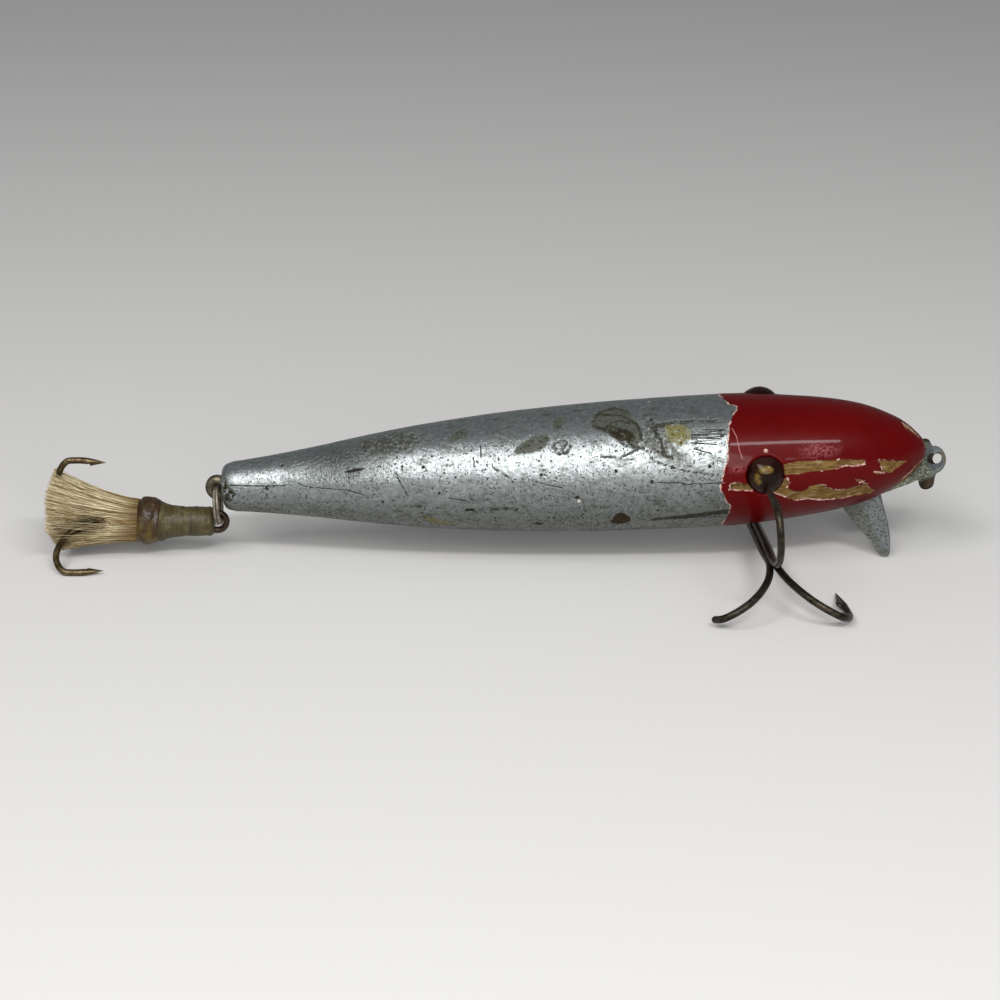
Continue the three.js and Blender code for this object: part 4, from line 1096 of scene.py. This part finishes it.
def thread_finish():
    """Dark thread in bands round the shank, with paler clouds that are painted highlights on the varnish, and
    dirty specks.
    """
    thread = Finish("varnished_thread")
    bands = thread.spots(1.0, 0.20, 0.80, 2.0, 0.5, thread.stretched(1.3, 0.06, 0.06))
    cloud = thread.noise(1.4, 4.0, 0.6)
    tone = thread.coats((0.026, 0.019, 0.005), (bands, (0.066, 0.051, 0.016)),
                        # Paler clouds: painted highlights on the varnish.
                        (thread.rise(cloud, 0.48, 0.70) * 0.7, (0.105, 0.088, 0.044)),
                        (thread.spots(0.5, 0.62, 0.72) * 0.6, (0.02, 0.013, 0.006)))
    return thread.set(Base_Color=tone, Roughness=0.45 + cloud * 0.15, Specular_IOR_Level=0.25,
                      Coat_Weight=0.1, Coat_Roughness=0.15, Normal=thread.relief(thread.noise(0.25), 0.05))


make_piece("thread_wrapping", turned_about_shank(evenly(wrap_rows, 240), thread_turns), [thread_finish()])

lump_rows = np.array([(11.0, 0.7), (11.0, 3.4), (11.2, 3.95), (12.0, 4.35), (13.2, 4.62), (14.3, 4.66),
                      (15.2, 4.4), (15.8, 3.8), (15.95, 2.2), (15.95, 0.7)])
lump_slant = 0.35


def lump_ripple(along, turn):
    """Uneven lacquer: a bulge on top, a slanting sag line down the side and slow waves, all fading out
    at the ends."""
    ends = np.clip((along - 11.4) / 1.0, 0, 1) * np.clip((15.8 - along) / 1.0, 0, 1)
    bulge = 0.50 * np.exp(-((turn - 1.6) / 0.8) ** 2) - 0.12
    seam_at = 13.4 + 1.7 * np.sin(turn - 2.9)
    seam = -0.20 * np.exp(-((along - seam_at) / 0.35) ** 2)
    waves = 0.09 * np.sin(3 * turn + along * 1.3) + 0.05 * np.sin(7 * turn - along * 2.1)
    return (bulge + seam + waves) * ends


def lacquer_finish():
    """Brown lacquer with yellower clouds, nearly black over its top, and dusty in places."""
    lacquer = Finish("dark_brown_lacquer")
    cloud = lacquer.noise(1.8, 4.0, 0.6)
    turn = lacquer.chart()[1]
    upper = lacquer.rise(abs(turn - 0.25) + (cloud - 0.5) * 0.2, 0.28, 0.14)
    blackish = lacquer.coats((0.012, 0.005, 0.002), (cloud, (0.045, 0.022, 0.009)))
    tone = lacquer.coats((0.030, 0.017, 0.003), (lacquer.rise(cloud, 0.36, 0.62), (0.082, 0.050, 0.008)),
                         (upper * 0.85, blackish), (lacquer.spots(0.7, 0.6, 0.74, 4.0) * 0.6, (0.15, 0.11, 0.05)))
    return lacquer.set(Base_Color=tone, Roughness=0.34 + cloud * 0.15, Specular_IOR_Level=0.25,
                       Coat_Weight=0.14, Coat_Roughness=0.1,
                       Normal=lacquer.relief(lacquer.noise(0.6, 4.0, 0.6), 0.10))


make_piece("lacquered_head", turned_about_shank(evenly(lump_rows, 90), lump_ripple, lump_slant),
           [lacquer_finish()])


# The skirt is a bundle of cream deer hair, tied in by its roots behind the lump and cut off nearly
# straight. It flares and lifts a little, and the hook's bends come out of it.
hair_start, hair_end = 15.3, 32.6
hair_count, hair_rows, hair_sides, lock_count = 4100, 8, 3, 90
core_rows, core_columns = 26, 120
bundle_root, bundle_flare, bundle_lift = 4.3, 4.0, 2.5
strand_radius, strand_wave, crossing_share = (0.040, 0.088), 0.46, 0.012
stray_share, stray_far, stray_near = 0.16, 0.32, 0.11
rng = np.random.default_rng(7)


def bundle_half(share):
    """Half height of the bundle: 4.3 mm at the lump, growing with the 1.5 power to 8.3 mm."""
    return bundle_root + bundle_flare * share ** 1.5


def lifted(share):
    """How high the bundle's middle line lies: it lifts with the 1.4 power, up to 2.5 mm at its end."""
    return bundle_lift * share ** 1.4 + 0.15


arm_along = np.array([20.5, 23.5, 26.1, 28.6, 30.2, 31.0, 34.0])
arm_out = np.array([0.7, 0.75, 1.54, 2.83, 4.4, 5.5, 6.5])
arm_turn, arm_half, arm_edge = math.radians(-30), 1.15, 1.9
open_way = np.array([math.cos(view_elevation), math.sin(view_elevation)])


def parted(along, across, up, depth, start=21.2):
    """Lays the bundle open over the near hook arm: what lies in front of the arm is pressed back behind
    it, with a smooth fall from nothing at 1.9 half widths beside the arm to the whole depth over it. The arm
    is taken a little before and after each place too, since the hairs' rows are further apart than it."""
    near = 0.0
    for step in (-1.1, 1.1, 0.0):
        out = np.interp(along + step, arm_along, arm_out)
        first, second = across - out * math.cos(arm_turn), up - out * math.sin(arm_turn)
        square = second * open_way[0] - first * open_way[1]
        near = np.maximum(near, np.clip(arm_edge - np.abs(square) / arm_half, 0, 1))
    in_front = first * open_way[0] + second * open_way[1]
    near = near * np.clip((along - start) / 2.5, 0, 1)
    pressed = np.maximum(in_front + depth, 0) * near * near * (3 - 2 * near)
    return across - pressed * open_way[0], up - pressed * open_way[1]


def hair_strands():
    """Every hair at once: its place in the round bundle stays the same share of the bundle's half
    height, drawn towards its lock and waved a little. Its section is a small triangle that thins out."""
    ring = rng.random(hair_count) ** 0.42
    turn = rng.random(hair_count) * 2 * math.pi
    lock_ring = np.sqrt(rng.random(lock_count))
    lock_turn = rng.random(lock_count) * 2 * math.pi
    lock = np.stack([lock_ring * np.cos(lock_turn), lock_ring * np.sin(lock_turn)], 1)
    place = np.stack([ring * np.cos(turn), ring * np.sin(turn)], 1)
    nearest = np.argmin(((place[:, None] - lock[None]) ** 2).sum(-1), axis=1)
    pull = rng.uniform(0.0, 0.45, hair_count)
    stray = np.where(rng.random((hair_count, 1)) < stray_share, stray_far, stray_near)
    end_place = place + (lock[nearest] - place) * pull[:, None] + rng.normal(0, 1, (hair_count, 2)) * stray
    over = np.maximum(1.0, np.linalg.norm(end_place, axis=1, keepdims=True))
    end_place = end_place / over
    share = np.linspace(0, 1, hair_rows)[None, :]
    cut = hair_end + rng.normal(0, 0.2, hair_count) - rng.random(hair_count) ** 8 * 5.0
    cut = np.minimum(cut, hair_end + 0.25)
    low = np.clip(-end_place[:, 1] - 0.35, 0, 1)
    cut = cut - 3.0 * low - 2.4 * np.clip(end_place[:, 1] - 0.62, 0, 1)
    along = hair_start + (cut[:, None] - hair_start) * share
    reach = (along - hair_start) / (hair_end - hair_start)
    half = bundle_half(np.clip(reach, 0, 1.05))
    mix = reach[..., None] ** 1.2
    spot = place[:, None] * (1 - mix) + end_place[:, None] * mix
    wave = strand_wave * rng.uniform(-1, 1, (hair_count, 2))[:, None] * np.sin(
        reach * rng.uniform(2, 8, hair_count)[:, None] + rng.uniform(0, 6, hair_count)[:, None])[..., None]
    across = spot[..., 0] * half * 0.98 + wave[..., 0] * reach
    up = spot[..., 1] * half + wave[..., 1] * reach + lifted(reach)
    depth = rng.uniform(1.0, 1.6, (hair_count, 1)) - 3.0 * (rng.random((hair_count, 1)) < crossing_share)
    across, up = parted(along, across, up, depth)
    centre = np.stack([along, across, up], -1)
    thick = rng.uniform(*strand_radius, hair_count)[:, None] * (1.1 - 0.45 * share)
    spin = rng.uniform(0, 2 * math.pi, hair_count)[:, None]
    corners = spin + np.arange(hair_sides)[None, :] * 2 * math.pi / hair_sides
    offset = np.stack([np.zeros_like(corners), np.cos(corners), np.sin(corners)], -1)
    return centre[:, :, None] + thick[:, :, None, None] * offset[:, None], rng.random(hair_count)


def hair_core():
    """Solid heart of the bundle, a little inside its outside, with grooves along it."""
    turn = full_turn(core_columns)
    share = np.linspace(0, 1, core_rows)[:, None]
    grooves = 1 + 0.03 * np.sin(turn * 17) + 0.02 * np.sin(turn * 29 + 1)
    half = bundle_half(share) * (0.90 - 0.16 * share) * grooves
    low = np.clip(-np.sin(turn) - 0.35, 0, 1)
    along = hair_start + (hair_end - 2.4 - 2.6 * low - hair_start) * share
    across, up = half * np.cos(turn), half * np.sin(turn) + lifted(share)
    across, up = parted(along, across, up, 3.0, 18.4)
    return behind(np.stack([along, across, up], -1))


def tube_faces(index):
    """Quads round and along tubes whose points are index[..., row, column], and the faces at their ends."""
    after = np.roll(index, -1, axis=-1)
    quads = np.stack([index[..., :-1, :], after[..., :-1, :], after[..., 1:, :], index[..., 1:, :]], -1)
    columns = index.shape[-1]
    return (quads.reshape(-1, 4).tolist() + index[..., -1, :].reshape(-1, columns).tolist()
            + index[..., 0, ::-1].reshape(-1, columns).tolist())


def hair_mesh():
    """The hairs' triangular tubes, closed at both ends, as one mesh with the core, whose low tint makes it dark
    brown as painted shade deep in the bundle.
    """
    points, tint = hair_strands()
    core = hair_core()
    count = points[..., 0].size
    faces = tube_faces(np.arange(count).reshape(points.shape[:3]))
    faces += tube_faces(count + np.arange(core_rows * core_columns).reshape(core_rows, core_columns))
    places = np.concatenate([behind(points.reshape(-1, 3)), core.reshape(-1, 3)]) / 1000
    mesh = bpy.data.meshes.new("hair_skirt")
    mesh.from_pydata(places.tolist(), [], faces)
    mesh.polygons.foreach_set("use_smooth", np.ones(len(mesh.polygons), bool))
    share = np.broadcast_to(np.linspace(0, 1, hair_rows)[None, :, None], points.shape[:3]).ravel()
    shade = np.broadcast_to(tint[:, None, None], points.shape[:3]).ravel()
    core_share = np.repeat(np.linspace(0, 1, core_rows), core_columns)
    # The core's tint of 0.05 gives it the darkest brown: painted shade inside the bundle.
    for name, values in (("share", np.concatenate([share, core_share * 0.4])),
                         ("tint", np.concatenate([shade, np.full(core_share.size, 0.05)]))):
        mesh.attributes.new(name, "FLOAT", "POINT").data.foreach_set("value", values.astype(np.float32))
    return mesh


def hair_finish():
    """Cream hair: each strand has its own tint, some are brown, and all are darker at the root, a little
    paler at the tip and shaded low down."""
    hair = Finish("cream_hair")
    share, tint = hair.field("share"), hair.field("tint")
    streak = hair.noise(0.5, 3.0, 0.6, hair.stretched(0.12))
    height = hair.node("ShaderNodeSeparateXYZ", {}, {0: hair.place}, 2)
    tone = hair.coats(
        (0.21, 0.130, 0.042), (hair.rise(tint + (streak - 0.5) * 0.9, 0.1, 0.8), (0.82, 0.73, 0.48)),
        (hair.rise(tint, 0.84, 0.93) * 0.8, (0.14, 0.080, 0.028)),
        (hair.rise(share, 0.40, 0.0) * 0.80, (0.150, 0.088, 0.025)),
        (hair.rise(share + streak * 0.3, 0.7, 1.25) * 0.35, (0.56, 0.46, 0.26)),
        (hair.rise(height + (streak - 0.5) * 4.0, 9.5, 3.0) * 0.55, (0.19, 0.125, 0.045)))
    return hair.set(Base_Color=tone, Roughness=0.6, Specular_IOR_Level=0.25)


skirt_mesh = hair_mesh()
skirt_mesh.materials.append(hair_finish())
add_piece("hair_skirt", skirt_mesh)


# The floor and the light: a plain pale table, two long soft lights above the camera's side of it, and
# an even pale room.
table_half = 3.0
floor_mesh = bpy.data.meshes.new("floor")
floor_mesh.from_pydata([(x * table_half, y * table_half, 0) for x, y in ((-1, -1), (1, -1), (1, 1), (-1, 1))],
                       [], [(0, 1, 2, 3)])
floor_mesh.materials.append(Finish("pale_floor").set(Base_Color=(0.66, 0.65, 0.635), Roughness=0.85))
floor = bpy.data.objects.new("floor", floor_mesh)
bpy.context.scene.collection.objects.link(floor)


light_distance = 0.8


def soft_light(name, elevation, along, size, power, tilt):
    """A long soft panel: it stands at an angle above the table, some way along the lure, faces the place
    that the camera looks at, and is tilted about that line."""
    way = math.radians(elevation)
    place = Vector((along, -math.cos(way) * light_distance, math.sin(way) * light_distance))
    data = bpy.data.lights.new(name, "AREA")
    data.shape = "RECTANGLE"
    data.size, data.size_y = size
    data.energy = power
    lamp = bpy.data.objects.new(name, data)
    lamp.location = place
    facing = (place - look_at).to_track_quat("Z", "Y")
    lamp.rotation_euler = (facing @ Quaternion((0.0, 0.0, 1.0), math.radians(tilt))).to_euler()
    bpy.context.scene.collection.objects.link(lamp)


soft_light("strip_light", 48, 0.215, (0.36, 0.07), 2.6, -12.0)
soft_light("wide_light", 38.5, -0.13, (1.24, 0.25), 8.0, -40.0)
room = bpy.data.worlds.new("room")
room.use_nodes = True
air = room.node_tree.nodes["Background"]
air.inputs["Color"].default_value = (0.95, 0.97, 1.0, 1.0)
air.inputs["Strength"].default_value = 0.23
bpy.context.scene.world = room
